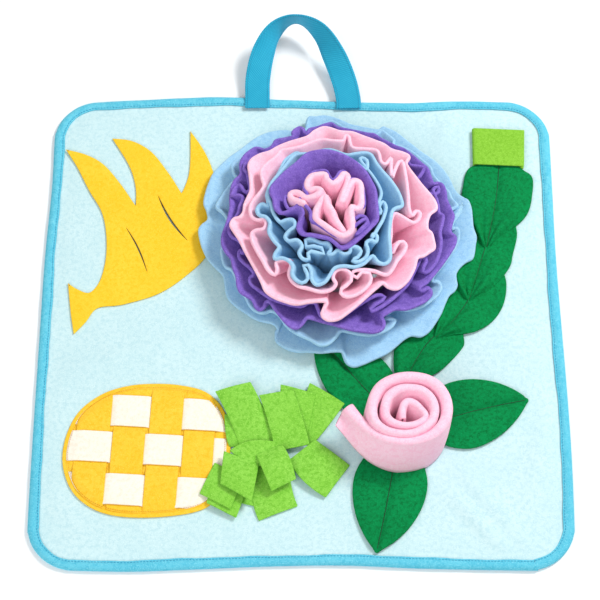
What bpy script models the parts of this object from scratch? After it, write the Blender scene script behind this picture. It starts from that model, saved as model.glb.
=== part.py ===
"""Snuffle mat: a fleece mat with a ruffled flower, a rolled rose, leaves and felt pockets, lying flat.

The mat lies on z = 0 with its underside's centre at the origin, +Y towards the carry handle.
Tables are in millimetres, and objects are built in metres.
"""

import math
from collections import namedtuple

import bmesh
import bpy
from mathutils import Vector

MM = 0.001


def table(columns, rows):
    """Rows of numbers whose columns have names."""
    row_type = namedtuple("Row", columns)
    return tuple(row_type(*row) for row in rows)


# Cloth thicknesses and the gap between sewn layers
GAP = 0.3
PANEL_THICK = 3.0
FELT_THICK = 1.6
LEAF_THICK = 2.0
WEAVE_THICK = 1.3
RUFFLE_THICK = 2.4
ROSE_THICK = 2.4
TAB_THICK = 1.5

# The mat: corner arcs and the slightly wavy sides between them
CORNER_STEPS = 4
SIDE_CELLS = 24
CORNERS = table("name centre_x centre_y radius start", (
    ("top left", -201, 205, 45, 180),
    ("top right", 205, 205, 45, 90),
    ("bottom right", 208, -208, 45, 0),
    ("bottom left", -206, -208, 45, -90),
))
# A point (x, y) for each swell and hollow of the top, right, bottom and left side
SIDES = (
    ((-150, 253), (-79, 256), (-2, 252), (103, 249), (155, 251)),
    ((250, 150), (250, 60), (253, -63), (254, -140)),
    ((110, -251), (40, -248), (-29, -249), (-99, -252), (-155, -254)),
    ((-251, -143), (-250, -23), (-249, 70), (-246, 150)),
)
# Soft wrinkles that show in the fleece: a ridge from one point to another
WRINKLES = table("x1 y1 x2 y2 height half_width", (
    (136, -174, 190, -234, 2.2, 9),
    (152, -156, 208, -228, 2.0, 10),
    (236, -90, 214, -190, 1.8, 12),
    (-222, -50, -84, -14, 2.0, 14),
    (-226, -52, -196, -46, 1.2, 7),
    (-218, 230, -140, 236, 1.4, 7),
    (152, 234, 140, 204, 1.6, 8),
    (234, 146, 236, 60, 1.2, 6),
    (-226, -186, -196, -222, 1.6, 9),
))

# The folded binding round the edge: a section in (distance out from the mat's edge, height)
BINDING_SECTION = (
    (-10.0, 4.4), (-6.5, 5.7), (-2.2, 5.1), (0.0, 2.8), (-1.4, 0.0), (-10.0, 0.0),
    (-10.0, 1.2), (-1.7, 1.2), (-1.7, 3.4), (-10.0, 3.4),
)
# Inside the binding the panel is pressed thin and held off the ground
EDGE_LIFT = 1.5
EDGE_TUCK = 2.4
EDGE_SHOULDER = 11.5

# The webbing handle: its centre line, and how far the outer edge is turned up
HANDLE_WIDTH = 25.0
HANDLE_THICK = 1.6
HANDLE_STATIONS = table("x y z turn", (
    (-43, 241.5, 6.9, 0),
    (-43, 253, 7.3, 0),
    (-42.5, 275, 10.5, 8),
    (-37, 300, 18, 32),
    (-25, 322, 25, 68),
    (-4, 334, 28, 103),
    (19, 321, 25, 68),
    (34, 297, 18, 32),
    (44, 273, 10.5, 8),
    (48.5, 253, 7.3, 0),
    (49, 241, 6.9, 0),
))

# Banana bunch: outline points, "tip" where the felt is cut to a corner
BANANA_OUTLINE = (
    (-234, 193, "tip"), (-213, 187, ""), (-195, 175, ""), (-177, 152, ""),
    (-162, 128, "tip"), (-163, 150, ""), (-170, 174, ""),
    (-188, 206, "tip"), (-168, 203, ""), (-148, 190, ""), (-130, 165, ""),
    (-117, 142, "tip"), (-110, 168, ""),
    (-110, 215, "tip"), (-94, 188, ""), (-84, 155, ""), (-83, 105, ""), (-91, 73, ""), (-110, 51, ""),
    (-136, 31, ""), (-170, 19, ""), (-195, 15, ""), (-206, 0, ""),
    (-217, -13, "tip"),
    (-221, 10, ""),
    (-225, 42, "tip"), (-215, 35, ""), (-203, 32, ""), (-193, 48, ""), (-189, 80, ""), (-194, 117, ""),
    (-209, 146, ""), (-222, 173, ""),
)
# Pocket slits in the felt: from one end to the other, bowed and open by a little
SLITS = table("x1 y1 x2 y2 bow opening", (
    (-171, 104, -148.5, 54, 2.0, 1.4),
    (-140.5, 140, -110, 89, -3.0, 2.2),
))

# Pineapple: the ground's outline and the affine frame of its plain weave
GROUND_OUTLINE = (
    (-222, -140), (-218, -115), (-207, -93), (-186, -76), (-162, -68), (-137, -66), (-111, -68), (-90, -74),
    (-75, -88), (-67, -108), (-65, -134), (-68, -163), (-79, -186), (-98, -197), (-134, -202), (-166, -201),
    (-190, -194), (-208, -180), (-218, -162),
)
WEAVE_INSET = 4.5
WEAVE_ORIGIN = (-145.0, -137.0)
WEAVE_ACROSS = (1.0, -0.06)
WEAVE_DOWN = (0.05, 1.0)
WEAVE_LOW = 6.0
WEAVE_HIGH = 8.3
WEAVE_SLOPE = 3.6
WEAVE_DOWN_STRIPS = table("centre width", ((-50.0, 31.5), (-16.0, 30.5), (17.5, 30.5), (49.5, 29.0)))
WEAVE_ACROSS_STRIPS = table("centre width", ((41.0, 32.0), (3.0, 31.0), (-39.0, 31.0)))

# Pineapple crown: felt flaps, from the lowest to the highest, each from its sewn root
FLAPS = table("root_x root_y heading length width root_z middle_z tip_z", (
    (-46, -149, -95, 43, 28, 4.1, 4.6, 4.3),
    (-42, -145, -67, 58, 33, 6.3, 7.2, 5.2),
    (-52, -150, -112, 50, 31, 8.8, 10.9, 10.5),
    (-62, -150, -115, 44, 31, 11.2, 14.0, 13.4),
    (-43, -134, -110, 22, 36, 13.6, 14.8, 14.6),
    (-54, -148, -103, 34, 33, 17.2, 23.0, 20.0),
    (-28, -143, -68, 36, 26, 20.4, 26.0, 18.0),
    (3, -137, -45, 45, 35, 4.1, 5.0, 4.6),
    (1, -129, 64, 57, 35, 7.2, 10.4, 9.2),
    (-13, -131, 79, 58, 31, 9.6, 13.4, 12.0),
    (-6, -133, 104, 54, 32, 12.2, 18.0, 17.0),
    (-51, -127, 112, 34, 34, 6.4, 10.4, 10.8),
    (-43, -130, 110, 60, 31, 9.2, 15.4, 15.0),
))

# The folded tab that grips the garland's head: (left, right, low, high) edges
TAB_CORNERS = ((172.5, 174), (222.5, 171.5), (224.5, 212), (173, 214.5))
TAB_HEIGHT = 6.2

# Leaves: how many pieces along and lines across
LEAF_PIECES = 10
LEAF_LINES = 5

# Garland leaves: stations along each leaf from its head to its pinched tip
LEAF_COLUMNS = "x y left_half right_half z puff"
GARLAND = (
    table(LEAF_COLUMNS, (
        (198, 184, 18, 17, 6.4, 0.0),
        (198, 174, 19, 18, 6.4, 0.1),
        (197, 165, 32, 30, 6.3, 0.6),
        (195, 146, 34, 33, 6.2, 2.0),
        (191, 122, 31, 31, 7.1, 2.0),
        (186, 99, 14, 17, 7.5, 1.4),
        (182, 80, 1.5, 1.5, 7.5, 0.0),
    )),
    table(LEAF_COLUMNS, (
        (193, 119, 17, 26, 4.4, 0.0),
        (188, 104, 25, 30, 4.4, 0.3),
        (181, 82, 27, 27, 4.7, 0.8),
        (176, 65, 27, 32, 7.0, 1.8),
        (169, 42, 17, 24, 7.5, 1.6),
        (163, 23, 1.5, 1.5, 7.5, 0.0),
    )),
    table(LEAF_COLUMNS, (
        (172, 57, 27, 25, 4.4, 0.0),
        (169, 46, 31, 33, 4.4, 0.3),
        (163, 25, 32, 34, 4.7, 0.9),
        (151, 6, 25, 24, 7.0, 1.8),
        (139, -8, 9, 10, 7.5, 1.2),
        (130, -17, 1.5, 1.5, 7.5, 0.0),
    )),
    table(LEAF_COLUMNS, (
        (144, 0, 17, 17, 4.4, 0.0),
        (137, -7, 26, 28, 4.4, 0.3),
        (122, -23, 28, 32, 4.8, 1.4),
        (110, -42, 24, 22, 6.8, 2.0),
        (102, -60, 12, 12, 7.5, 1.0),
        (97, -75, 1.5, 1.5, 7.4, 0.0),
    )),
)

# The rose's three leaves share one outline
ROSE_LEAF_PROFILE = table("length_share width_share", (
    (0.0, 0.45), (0.12, 0.8), (0.3, 1.0), (0.5, 0.97), (0.7, 0.76), (0.87, 0.42), (1.0, 0.02),
))
ROSE_LEAVES = table("name base_x base_y tip_x tip_y left_half right_half bend puff", (
    ("rose_leaf_right", 121, -108, 215, -83, 33, 35, 2, 2.2),
    ("rose_leaf_front", 90, -133, 70, -236, 33, 33, 1, 2.2),
    ("rose_leaf_back", 80, -94, 15, -14, 29, 31, 0, 2.0),
))

# The rose: sections of the folded strip round its spiral, from the flared tail to the heart
ROSE_FOOT_CENTRE = (98.5, -117.0)
ROSE_RIM_CENTRE = (101.5, -110.5)
ROSE_SECTIONS = table("degrees rim_radius rim_z foot_radius foot_z wall", (
    (176, 63, 43, 60, 34, 8.0),
    (190, 53, 45, 50, 27, 8.4),
    (212, 45, 47, 42, 19, 8.4),
    (240, 41, 48, 38, 12, 8.4),
    (275, 39, 48, 36, 7.5, 8.0),
    (320, 38, 50, 35, 6.0, 8.4),
    (360, 37.3, 52, 34, 6.0, 8.8),
    (410, 36.5, 53, 33, 6.0, 10.4),
    (450, 36.3, 53, 32.5, 6.0, 11.0),
    (500, 36, 53, 32, 6.0, 11.0),
    (540, 35, 52, 31, 6.0, 10.0),
    (585, 31, 51, 27.5, 6.0, 8.4),
    (630, 28.2, 50, 25, 6.0, 8.0),
    (675, 27, 50, 23.5, 6.0, 8.4),
    (720, 26, 51, 22.3, 6.0, 8.8),
    (810, 23, 51, 19.5, 6.0, 9.4),
    (900, 20.5, 50, 17, 6.0, 8.8),
    (990, 16.5, 48, 13.5, 6.0, 8.0),
    (1080, 12.8, 48, 10.5, 6.0, 7.4),
    (1170, 7.6, 47, 6.6, 6.0, 6.6),
    (1215, 5.2, 46, 5.0, 6.0, 6.0),
))
ROSE_STEPS_PER_TURN = 20
ROSE_FOLD_STEPS = 4
ROSE_BULGE = 0.4

# The flower: ruffles sewn down one inside the other.
# Each fold of a lip goes out to a crest and back to a valley, which is higher by the swell.
RUFFLE_ROOT_Z = 4.6
RUFFLE_LEVELS = (0.0, 0.6, 1.0)
LIP_STEP = 9.5
RUFFLE_SHAPE = namedtuple("RuffleShape", "centre_x centre_y root_x root_y root_radius lip_z swell stand")
FOLD_COLUMNS = "crest crest_reach valley valley_reach"
RUFFLES = {
    "ruffle_blue_outer": (RUFFLE_SHAPE(36, 84, 36, 84, 80, 12.5, 8.0, 0.30), table(FOLD_COLUMNS, (
        (98, 140, 86, 130), (72, 135, 62, 127), (54, 131, 48, 125), (42, 131, 32, 125),
        (19, 137, 10, 129), (3, 134, 354, 126), (348, 124, 343, 116), (336, 123, 325, 116),
        (308, 131, 299, 121), (277, 137, 270, 116), (258, 124, 251, 119), (245, 127, 236, 108),
        (226, 115, 219, 112), (211, 120, 202, 113), (190, 121, 181, 119), (173, 134, 166, 126),
        (155, 141, 146, 139), (134, 146, 124, 139), (115, 136, 107, 130),
    ))),
    "ruffle_purple_outer": (RUFFLE_SHAPE(36, 84, 36, 84, 69, 38, 0.6, 0.28), table(FOLD_COLUMNS, (
        (116, 118, 110, 108), (104, 119, 98, 110), (92, 118, 84, 107), (76, 112, 70, 102),
        (64, 109, 58, 101), (52, 111, 46, 103), (39, 116, 31, 101), (24, 114, 17, 102),
        (10, 113, 3, 101), (355, 114, 348, 102), (341, 112, 334, 100), (326, 110, 318, 98),
        (311, 112, 302, 92), (290, 117, 281, 102), (272, 103, 263, 92), (250, 114, 239, 99),
        (229, 111, 222, 101), (214, 113, 206, 100), (197, 110, 190, 100), (181, 111, 173, 100),
        (162, 111, 154, 102), (141, 119, 127, 107),
    ))),
    "ruffle_pink_outer": (RUFFLE_SHAPE(36, 84, 35, 85, 59, 49, 0.5, 0.26), table(FOLD_COLUMNS, (
        (108, 106, 101, 97), (93, 107, 84, 94), (75, 100, 66, 86), (57, 99, 51, 89),
        (45, 102, 34, 85), (26, 97, 19, 84), (11, 97, 3, 82), (353, 96, 347, 83),
        (340, 95, 332, 82), (322, 93, 315, 83), (307, 93, 298, 74), (284, 91, 277, 82),
        (267, 103, 259, 83), (244, 97, 234, 92), (223, 99, 213, 89), (202, 96, 193, 88),
        (181, 103, 172, 87), (162, 95, 155, 90), (141, 108, 125, 98),
    ))),
    "ruffle_pink_inner": (RUFFLE_SHAPE(36, 84, 34, 87, 50, 57.4, 0.4, 0.24), table(FOLD_COLUMNS, (
        (131, 90, 122, 80), (113, 91, 101, 82), (85, 88, 71, 78), (61, 84, 52, 68),
        (42, 86, 33, 68), (23, 77, 13, 62), (1, 74, 352, 58), (339, 72, 330, 60),
        (318, 75, 310, 62), (302, 77, 295, 57), (285, 85, 277, 57), (263, 79, 251, 70),
        (238, 80, 229, 68), (219, 81, 211, 70), (202, 83, 194, 72), (186, 84, 177, 70),
        (168, 79, 159, 69), (148, 88, 140, 78),
    ))),
    "ruffle_blue_inner": (RUFFLE_SHAPE(36, 84, 33, 89, 42, 66, 0.3, 0.22), table(FOLD_COLUMNS, (
        (121, 82, 108, 70), (94, 75, 84, 64), (70, 76, 61, 62), (51, 72, 38, 52),
        (20, 65, 9, 47), (357, 58, 344, 42), (325, 64, 318, 52), (310, 70, 301, 44),
        (291, 60, 283, 42), (273, 66, 265, 46), (255, 76, 247, 54), (239, 76, 230, 52),
        (221, 74, 212, 52), (203, 72, 194, 53), (185, 72, 177, 55), (169, 76, 161, 64),
        (152, 76, 143, 68), (134, 80, 127, 74),
    ))),
    "ruffle_purple_inner": (RUFFLE_SHAPE(27, 96, 30, 92, 34, 72, 0.3, 0.2), table(FOLD_COLUMNS, (
        (115, 57, 104, 53), (90, 57, 76, 52), (60, 54, 45, 48), (30, 50, 17, 44),
        (355, 52, 343, 46), (330, 56, 322, 49), (312, 56, 300, 50), (283, 56, 269, 46),
        (250, 46, 238, 39), (224, 43, 213, 36), (202, 45, 194, 40), (181, 53, 172, 49),
        (163, 57, 148, 50), (138, 54, 126, 51),
    ))),
}

# The flower's heart: a collar and a centre strip, whose upright walls follow lips set by hand.
# Each lip has a point (x, y) from the heart's centre for every fold.
HEART_CENTRE = (27.0, 96.0)
HEART_ROOT_SCALE = 0.62
HEART_STAND = 0.4
COLLAR_LIP_Z = 75.0
COLLAR_LIP = (
    (-43, 2), (-33, 12), (-24, 18), (-23, 28), (-12, 33), (-4, 30), (0, 23), (5, 21), (8, 28), (15, 31),
    (23, 27), (25, 22), (34, 18), (38, 10), (38, -5), (36, -13), (41, -20), (36, -26), (31, -30), (26, -37),
    (17, -42), (4, -40), (-10, -33), (-17, -23), (-22, -14), (-32, -10), (-41, -6),
)
CENTRE_LIP_Z = 77.0
CENTRE_LIP = (
    (-18, -9), (-25, -5), (-33, -3), (-37, 2), (-31, 7), (-21, 3), (-13, 4), (-12, 10), (-18, 15),
    (-17, 23), (-10, 27), (-5, 23), (-3, 16), (3, 13), (10, 15), (12, 22), (17, 24), (20, 17),
    (16, 5), (17, -3), (21, 4), (23, 14), (28, 16), (32, 11), (32, -4), (28, -12),
)
BUD_LIP = (
    (22, -13), (21, -21), (22, -30), (17, -36.5), (9, -34), (0, -28), (-8, -21), (-11, -13), (-8, -4), (0, 1),
    (7, -4), (9, -11), (6, -18), (8, -25),
)

COLOURS = {
    "panel fleece": (0.62, 0.85, 0.88),
    "binding fleece": (0.12, 0.60, 0.80),
    "webbing": (0.02, 0.40, 0.62),
    "banana felt": (0.97, 0.62, 0.05),
    "weave yellow": (0.97, 0.58, 0.06),
    "weave cream": (0.97, 0.92, 0.84),
    "crown felt": (0.20, 0.62, 0.07),
    "tab felt": (0.30, 0.62, 0.06),
    "leaf felt": (0.01, 0.28, 0.08),
    "ruffle blue": (0.30, 0.55, 0.80),
    "ruffle purple": (0.18, 0.10, 0.47),
    "ruffle pink": (0.95, 0.45, 0.60),
}
CLOTH_ROUGHNESS = 0.95


# ---- Curves

def spline_point(before, start, end, after, share):
    """A point between start and end on the smooth curve through all four."""
    square = share * share
    cube = square * share
    return 0.5 * (
        2 * start
        + (end - before) * share
        + (2 * before - 5 * start + 4 * end - after) * square
        + (3 * start - before - 3 * end + after) * cube
    )


def smooth_loop(points, step):
    """Closed smooth curve through the points, which stay on it, with a point about every step."""
    curve = []
    count = len(points)
    for index in range(count):
        before, start, end, after = (points[(index + k) % count] for k in (-1, 0, 1, 2))
        pieces = max(1, round((end - start).length / step))
        curve += [spline_point(before, start, end, after, k / pieces) for k in range(pieces)]
    return curve


def smooth_path(points, step):
    """Open smooth curve through the points, ends included."""
    curve = []
    last = len(points) - 1
    for index in range(last):
        before = points[max(index - 1, 0)]
        start, end = points[index], points[index + 1]
        after = points[min(index + 2, last)]
        pieces = max(1, round((end - start).length / step))
        curve += [spline_point(before, start, end, after, k / pieces) for k in range(pieces)]
    return curve + [points[last]]


def resampled(path, count):
    """The path as count equal stretches."""
    lengths = [0.0]
    for start, end in zip(path, path[1:]):
        lengths.append(lengths[-1] + (end - start).length)
    result = []
    index = 0
    for k in range(count + 1):
        target = lengths[-1] * k / count
        while index < len(path) - 2 and lengths[index + 1] < target:
            index += 1
        share = (target - lengths[index]) / (lengths[index + 1] - lengths[index])
        result.append(path[index].lerp(path[index + 1], share))
    return result


def station_at(rows, place):
    """A row between the rows of a table, at a place counted in rows."""
    index = min(int(place), len(rows) - 2)
    share = place - index
    last = len(rows) - 1
    near = [rows[min(max(index + k, 0), last)] for k in (-1, 0, 1, 2)]
    return type(rows[0])(*[spline_point(*values, share) for values in zip(*near)])


def flat(x, y, z=0.0):
    return Vector((x, y, z))


def heading_vector(degrees):
    return Vector((math.cos(math.radians(degrees)), math.sin(math.radians(degrees)), 0.0))


# ---- Objects

def clear_scene():
    for old in list(bpy.data.objects):
        bpy.data.objects.remove(old, do_unlink=True)


def cloth_material(object_name, colour_name):
    """Each object has its own material, in one of the cloth colours."""
    material = bpy.data.materials.new(object_name + " " + colour_name)
    material.use_nodes = True
    shader = material.node_tree.nodes["Principled BSDF"]
    shader.inputs["Base Color"].default_value = (*COLOURS[colour_name], 1.0)
    shader.inputs["Roughness"].default_value = CLOTH_ROUGHNESS
    shader.inputs["Metallic"].default_value = 0.0
    return material


def add_object(name, points, faces, colour_name):
    """An object from points in millimetres."""
    mesh = bpy.data.meshes.new(name)
    mesh.from_pydata([point * MM for point in points], [], faces)
    mesh.update()
    mesh.materials.append(cloth_material(name, colour_name))
    mesh.shade_smooth()
    mesh.set_sharp_from_angle(angle=math.radians(50))
    result = bpy.data.objects.new(name, mesh)
    bpy.context.scene.collection.objects.link(result)
    return result


def face_outwards(result):
    shape = bmesh.new()
    shape.from_mesh(result.data)
    bmesh.ops.recalc_face_normals(shape, faces=shape.faces)
    shape.to_mesh(result.data)
    shape.free()


def thicken(result, thickness):
    """Gives a sheet its thickness, half to each side."""
    solidify = result.modifiers.new("Cloth thickness", "SOLIDIFY")
    solidify.thickness = thickness * MM
    solidify.offset = 0.0


def grid_faces(rows, columns, wrap_rows):
    faces = []
    for i in range(rows if wrap_rows else rows - 1):
        for j in range(columns - 1):
            corner = i * columns + j
            beside = ((i + 1) % rows) * columns + j
            faces.append((corner, beside, beside + 1, corner + 1))
    return faces


def add_sheet(name, grid, thickness, colour_name, wrap_rows=False):
    """A cloth sheet whose middle surface goes through a grid of points."""
    points = [point for row in grid for point in row]
    faces = grid_faces(len(grid), len(grid[0]), wrap_rows)
    result = add_object(name, points, faces, colour_name)
    thicken(result, thickness)
    return result


def add_sweep(name, sections, colour_name, closed_path=False):
    """A solid swept through sections, each a closed loop of points."""
    size = len(sections[0])
    points = [point for section in sections for point in section]
    faces = []
    for i in range(len(sections) if closed_path else len(sections) - 1):
        here = i * size
        there = ((i + 1) % len(sections)) * size
        for j in range(size):
            k = (j + 1) % size
            faces.append((here + j, here + k, there + k, there + j))
    if not closed_path:
        # A section is two layers, there and back, so each end closes with quads between them
        for first in (0, (len(sections) - 1) * size):
            for j in range(size // 2 - 1):
                faces.append((first + j, first + j + 1, first + size - 2 - j, first + size - 1 - j))
    result = add_object(name, points, faces, colour_name)
    face_outwards(result)
    return result


def add_flat_cut(name, outline, bottom, thickness, colour_name):
    """A flat piece of cloth cut to an outline."""
    count = len(outline)
    lower = [flat(point.x, point.y, bottom) for point in outline]
    upper = [flat(point.x, point.y, bottom + thickness) for point in outline]
    faces = [tuple(range(count)), tuple(range(count, 2 * count))]
    faces += [(k, (k + 1) % count, (k + 1) % count + count, k + count) for k in range(count)]
    result = add_object(name, lower + upper, faces, colour_name)
    result.data.shade_flat()
    face_outwards(result)
    return result


# ---- The mat

def corner_arc(corner):
    """The rounded corner's points, clockwise, in two halves that share the middle point."""
    arc = []
    for k in range(CORNER_STEPS + 1):
        angle = corner.start - 90.0 * k / CORNER_STEPS
        arc.append(flat(corner.centre_x, corner.centre_y) + corner.radius * heading_vector(angle))
    middle = CORNER_STEPS // 2
    return arc[:middle + 1], arc[middle:]


def mat_sides():
    """The mat's edge as four paths, clockwise from the middle of the top left corner."""
    sides = []
    for index, side in enumerate(SIDES):
        leaving = corner_arc(CORNERS[index])[1]
        arriving = corner_arc(CORNERS[(index + 1) % 4])[0]
        points = leaving + [flat(x, y) for x, y in side] + arriving
        sides.append(resampled(smooth_path(points, 6.0), SIDE_CELLS))
    return sides


def mat_edge():
    return [point for side in mat_sides() for point in side[:-1]]


def inward_normals(loop):
    """Level directions into a clockwise loop."""
    count = len(loop)
    normals = []
    for index in range(count):
        along = (loop[(index + 1) % count] - loop[index - 1]).normalized()
        normals.append(flat(along.y, -along.x))
    return normals


def wrinkle_height(point):
    """How far the fleece's top stands above the flat at this point."""
    height = 0.0
    for ridge in WRINKLES:
        start, end = flat(ridge.x1, ridge.y1), flat(ridge.x2, ridge.y2)
        along = end - start
        share = max(0.0, min(1.0, (point - start).dot(along) / along.length_squared))
        distance = (point - start.lerp(end, share)).length
        along_ridge = math.sin(math.pi * (0.12 + 0.76 * share))
        across_ridge = math.exp(-(distance / ridge.half_width) ** 2)
        height = max(height, ridge.height * across_ridge * along_ridge)
    return height


def coons_patch(top, right, bottom, left):
    """A grid inside four sides, row by row from the top; each side runs rightwards or downwards."""
    cells = len(top) - 1
    plan = []
    for j in range(cells + 1):
        v = j / cells
        for i in range(cells + 1):
            u = i / cells
            between_sides = top[i].lerp(bottom[i], v) + left[j].lerp(right[j], u)
            between_corners = top[0].lerp(top[-1], u).lerp(bottom[0].lerp(bottom[-1], u), v)
            plan.append(between_sides - between_corners)
    return plan


def square_ring(cells, inset):
    """Clockwise indices of a square ring in a grid of cells, this many cells in from its border."""
    size = cells + 1
    first, last = inset, cells - inset
    ring = [first * size + i for i in range(first, last)]
    ring += [j * size + last for j in range(first, last)]
    ring += [last * size + i for i in range(last, first, -1)]
    ring += [j * size + first for j in range(last, first, -1)]
    return ring


def make_panel():
    """A panel with a flat underside, whose rim rises a little into the binding."""
    edge = mat_edge()
    inward = inward_normals(edge)
    rim = [point + normal * EDGE_TUCK for point, normal in zip(edge, inward)]
    shoulder = [point + normal * EDGE_SHOULDER for point, normal in zip(edge, inward)]
    cells = SIDE_CELLS
    looped = shoulder + shoulder[:1]
    top, right, bottom, left = (looped[k * cells:(k + 1) * cells + 1] for k in range(4))
    plan = coons_patch(top, right, bottom[::-1], left[::-1])
    border, inner = square_ring(cells, 0), square_ring(cells, 1)
    top_points = [flat(p.x, p.y, PANEL_THICK + wrinkle_height(p)) for p in plan]
    for index in border:
        top_points[index].z = PANEL_THICK
    rim_top = [flat(p.x, p.y, PANEL_THICK) for p in rim]
    rim_under = [flat(p.x, p.y, EDGE_LIFT) for p in rim]
    shoulder_under = [flat(p.x, p.y, EDGE_LIFT) for p in shoulder]
    flat_under = [flat(plan[index].x, plan[index].y, 0.0) for index in inner]
    points = top_points + rim_top + rim_under + shoulder_under + flat_under
    count = len(rim)
    first_rim = len(top_points)
    first_under = first_rim + count
    first_shoulder = first_under + count
    first_flat = first_shoulder + count
    faces = grid_faces(cells + 1, cells + 1, False)
    for k in range(count):
        following = (k + 1) % count
        faces.append((border[k], border[following], first_rim + following, first_rim + k))
        faces.append((first_rim + k, first_rim + following, first_under + following, first_under + k))
        under, beside = first_under + k, first_under + following
        faces.append((under, beside, first_shoulder + following, first_shoulder + k))
    # The sloping margin round the flat underside: each of its corners meets three points of the shoulder
    flat_count = len(inner)
    per_side = cells - 2
    for side in range(4):
        for k in range(cells):
            outer = side * cells + k
            a = (side * per_side + max(k - 1, 0)) % flat_count
            b = (side * per_side + min(k, per_side)) % flat_count
            beside = first_shoulder + (outer + 1) % count
            loop = [first_shoulder + outer, beside, first_flat + b, first_flat + a]
            faces.append(tuple(dict.fromkeys(loop)))
    faces.append(tuple(first_flat + k for k in range(flat_count)))
    result = add_object("mat_panel", points, faces, "panel fleece")
    face_outwards(result)


def make_binding():
    edge = mat_edge()
    sections = []
    for point, inward in zip(edge, inward_normals(edge)):
        sections.append([point - inward * out + flat(0, 0, height) for out, height in BINDING_SECTION])
    add_sweep("edge_binding", sections, "binding fleece", closed_path=True)


def make_handle():
    """Webbing that lies face up on the binding and turns on its edge towards the loop's top."""
    last = len(HANDLE_STATIONS) - 1
    pieces = 34
    rows = [station_at(HANDLE_STATIONS, last * k / pieces) for k in range(pieces + 1)]
    centre = [flat(row.x, row.y, row.z) for row in rows]
    middle = flat(2, 241)
    grid = []
    for index, row in enumerate(rows):
        along = (centre[min(index + 1, pieces)] - centre[max(index - 1, 0)]).normalized()
        outward = flat(-along.y, along.x).normalized()
        if outward.dot(centre[index] - middle) < 0:
            outward = -outward
        turn = math.radians(row.turn)
        across = math.cos(turn) * outward + math.sin(turn) * flat(0, 0, 1)
        grid.append([centre[index] + across * HANDLE_WIDTH * share for share in (-0.5, 0.0, 0.5)])
    add_sheet("handle", grid, HANDLE_THICK, "webbing")


# ---- Felt pieces that lie on the mat

def outline_with_tips(rows, step):
    """Smooth between the rows marked as tips, and a corner at each of those."""
    tips = [index for index, row in enumerate(rows) if row[2] == "tip"]
    outline = []
    for first, following in zip(tips, tips[1:] + [tips[0] + len(rows)]):
        stretch = [flat(*rows[k % len(rows)][:2]) for k in range(first, following + 1)]
        outline += smooth_path(stretch, step)[:-1]
    return outline


def cut_slit(target, index, row):
    """Cuts a narrow lens-shaped slit through a felt piece."""
    start, end = flat(row.x1, row.y1), flat(row.x2, row.y2)
    along = (end - start).normalized()
    side = flat(-along.y, along.x)
    steps = 8
    shares = [k / steps for k in range(steps + 1)]
    bowed = [start.lerp(end, t) + side * row.bow * math.sin(math.pi * t) for t in shares]
    gape = [side * (0.5 * row.opening * math.sin(math.pi * t)) for t in shares]
    outline = [p + g for p, g in zip(bowed, gape)] + [p - g for p, g in zip(bowed, gape)][-2:0:-1]
    cutter = add_flat_cut(f"slit_cutter_{index}", outline, 0.0, 12.0, "banana felt")
    cutter.hide_render = True
    cutter.hide_viewport = False
    cutter.display_type = "WIRE"
    cut = target.modifiers.new(f"Slit {index}", "BOOLEAN")
    cut.operation = "DIFFERENCE"
    cut.solver = "EXACT"
    cut.object = cutter


def make_banana():
    outline = outline_with_tips(BANANA_OUTLINE, 13.0)
    banana = add_flat_cut("banana", outline, PANEL_THICK + GAP, FELT_THICK, "banana felt")
    for index, row in enumerate(SLITS, 1):
        cut_slit(banana, index, row)


def ground_outline(inset):
    loop = smooth_loop([flat(x, y) for x, y in GROUND_OUTLINE], 10.0)
    return [point + inward * inset for point, inward in zip(loop, inward_normals(loop))]


def reach_inside(loop, point, along):
    """How far a straight line through the point stays inside a loop, each way."""
    side = flat(-along.y, along.x)
    hits = []
    for a, b in zip(loop, loop[1:] + loop[:1]):
        from_a, from_b = (a - point).dot(side), (b - point).dot(side)
        if (from_a < 0) != (from_b < 0):
            share = from_a / (from_a - from_b)
            hits.append((a.lerp(b, share) - point).dot(along) / along.length_squared)
    return min(hits), max(hits)


def weave_places(crossings, low, high):
    """Places along a strip: its ends and both ends of each slope between two crossing strips."""
    places = [low, high]
    for (centre, width), (after, after_width) in zip(crossings, crossings[1:]):
        change = 0.5 * (centre + after) + 0.25 * math.copysign(width - after_width, after - centre)
        places += [change - WEAVE_SLOPE, change + WEAVE_SLOPE]
    return sorted(places)


def weave_heights(crossings, first_high):
    """Heights at those places, as the strip passes over and under by turns."""
    heights = []
    high = first_high
    for _ in crossings:
        heights += [WEAVE_HIGH if high else WEAVE_LOW] * 2
        high = not high
    return heights if crossings[0][0] < crossings[-1][0] else heights[::-1]


def make_weave():
    """Plain weave: each strip lies in the slanted frame of the weave and ends at the ground's seam."""
    limit = ground_outline(WEAVE_INSET)
    origin = flat(*WEAVE_ORIGIN)
    across, down = flat(*WEAVE_ACROSS), flat(*WEAVE_DOWN)
    kinds = (
        ("weave_down", WEAVE_DOWN_STRIPS, across, down, WEAVE_ACROSS_STRIPS, 1, "weave yellow"),
        ("weave_across", WEAVE_ACROSS_STRIPS, down, across, WEAVE_DOWN_STRIPS, 0, "weave cream"),
    )
    for name, strips, sideways, along, crossings, high_parity, colour_name in kinds:
        for number, (centre, width) in enumerate(strips, 1):
            heights = weave_heights(crossings, number % 2 == high_parity)
            columns = []
            for share in (-0.5, 0.0, 0.5):
                base = origin + sideways * (centre + share * width)
                places = weave_places(crossings, *reach_inside(limit, base, along))
                columns.append([base + along * place + flat(0, 0, z) for place, z in zip(places, heights)])
            grid = [list(row) for row in zip(*columns)]
            add_sheet(f"{name}_{number}", grid, WEAVE_THICK, colour_name)


def make_pineapple():
    add_flat_cut("pineapple_ground", ground_outline(0.0), PANEL_THICK + GAP, FELT_THICK, "weave yellow")
    make_weave()


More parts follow.
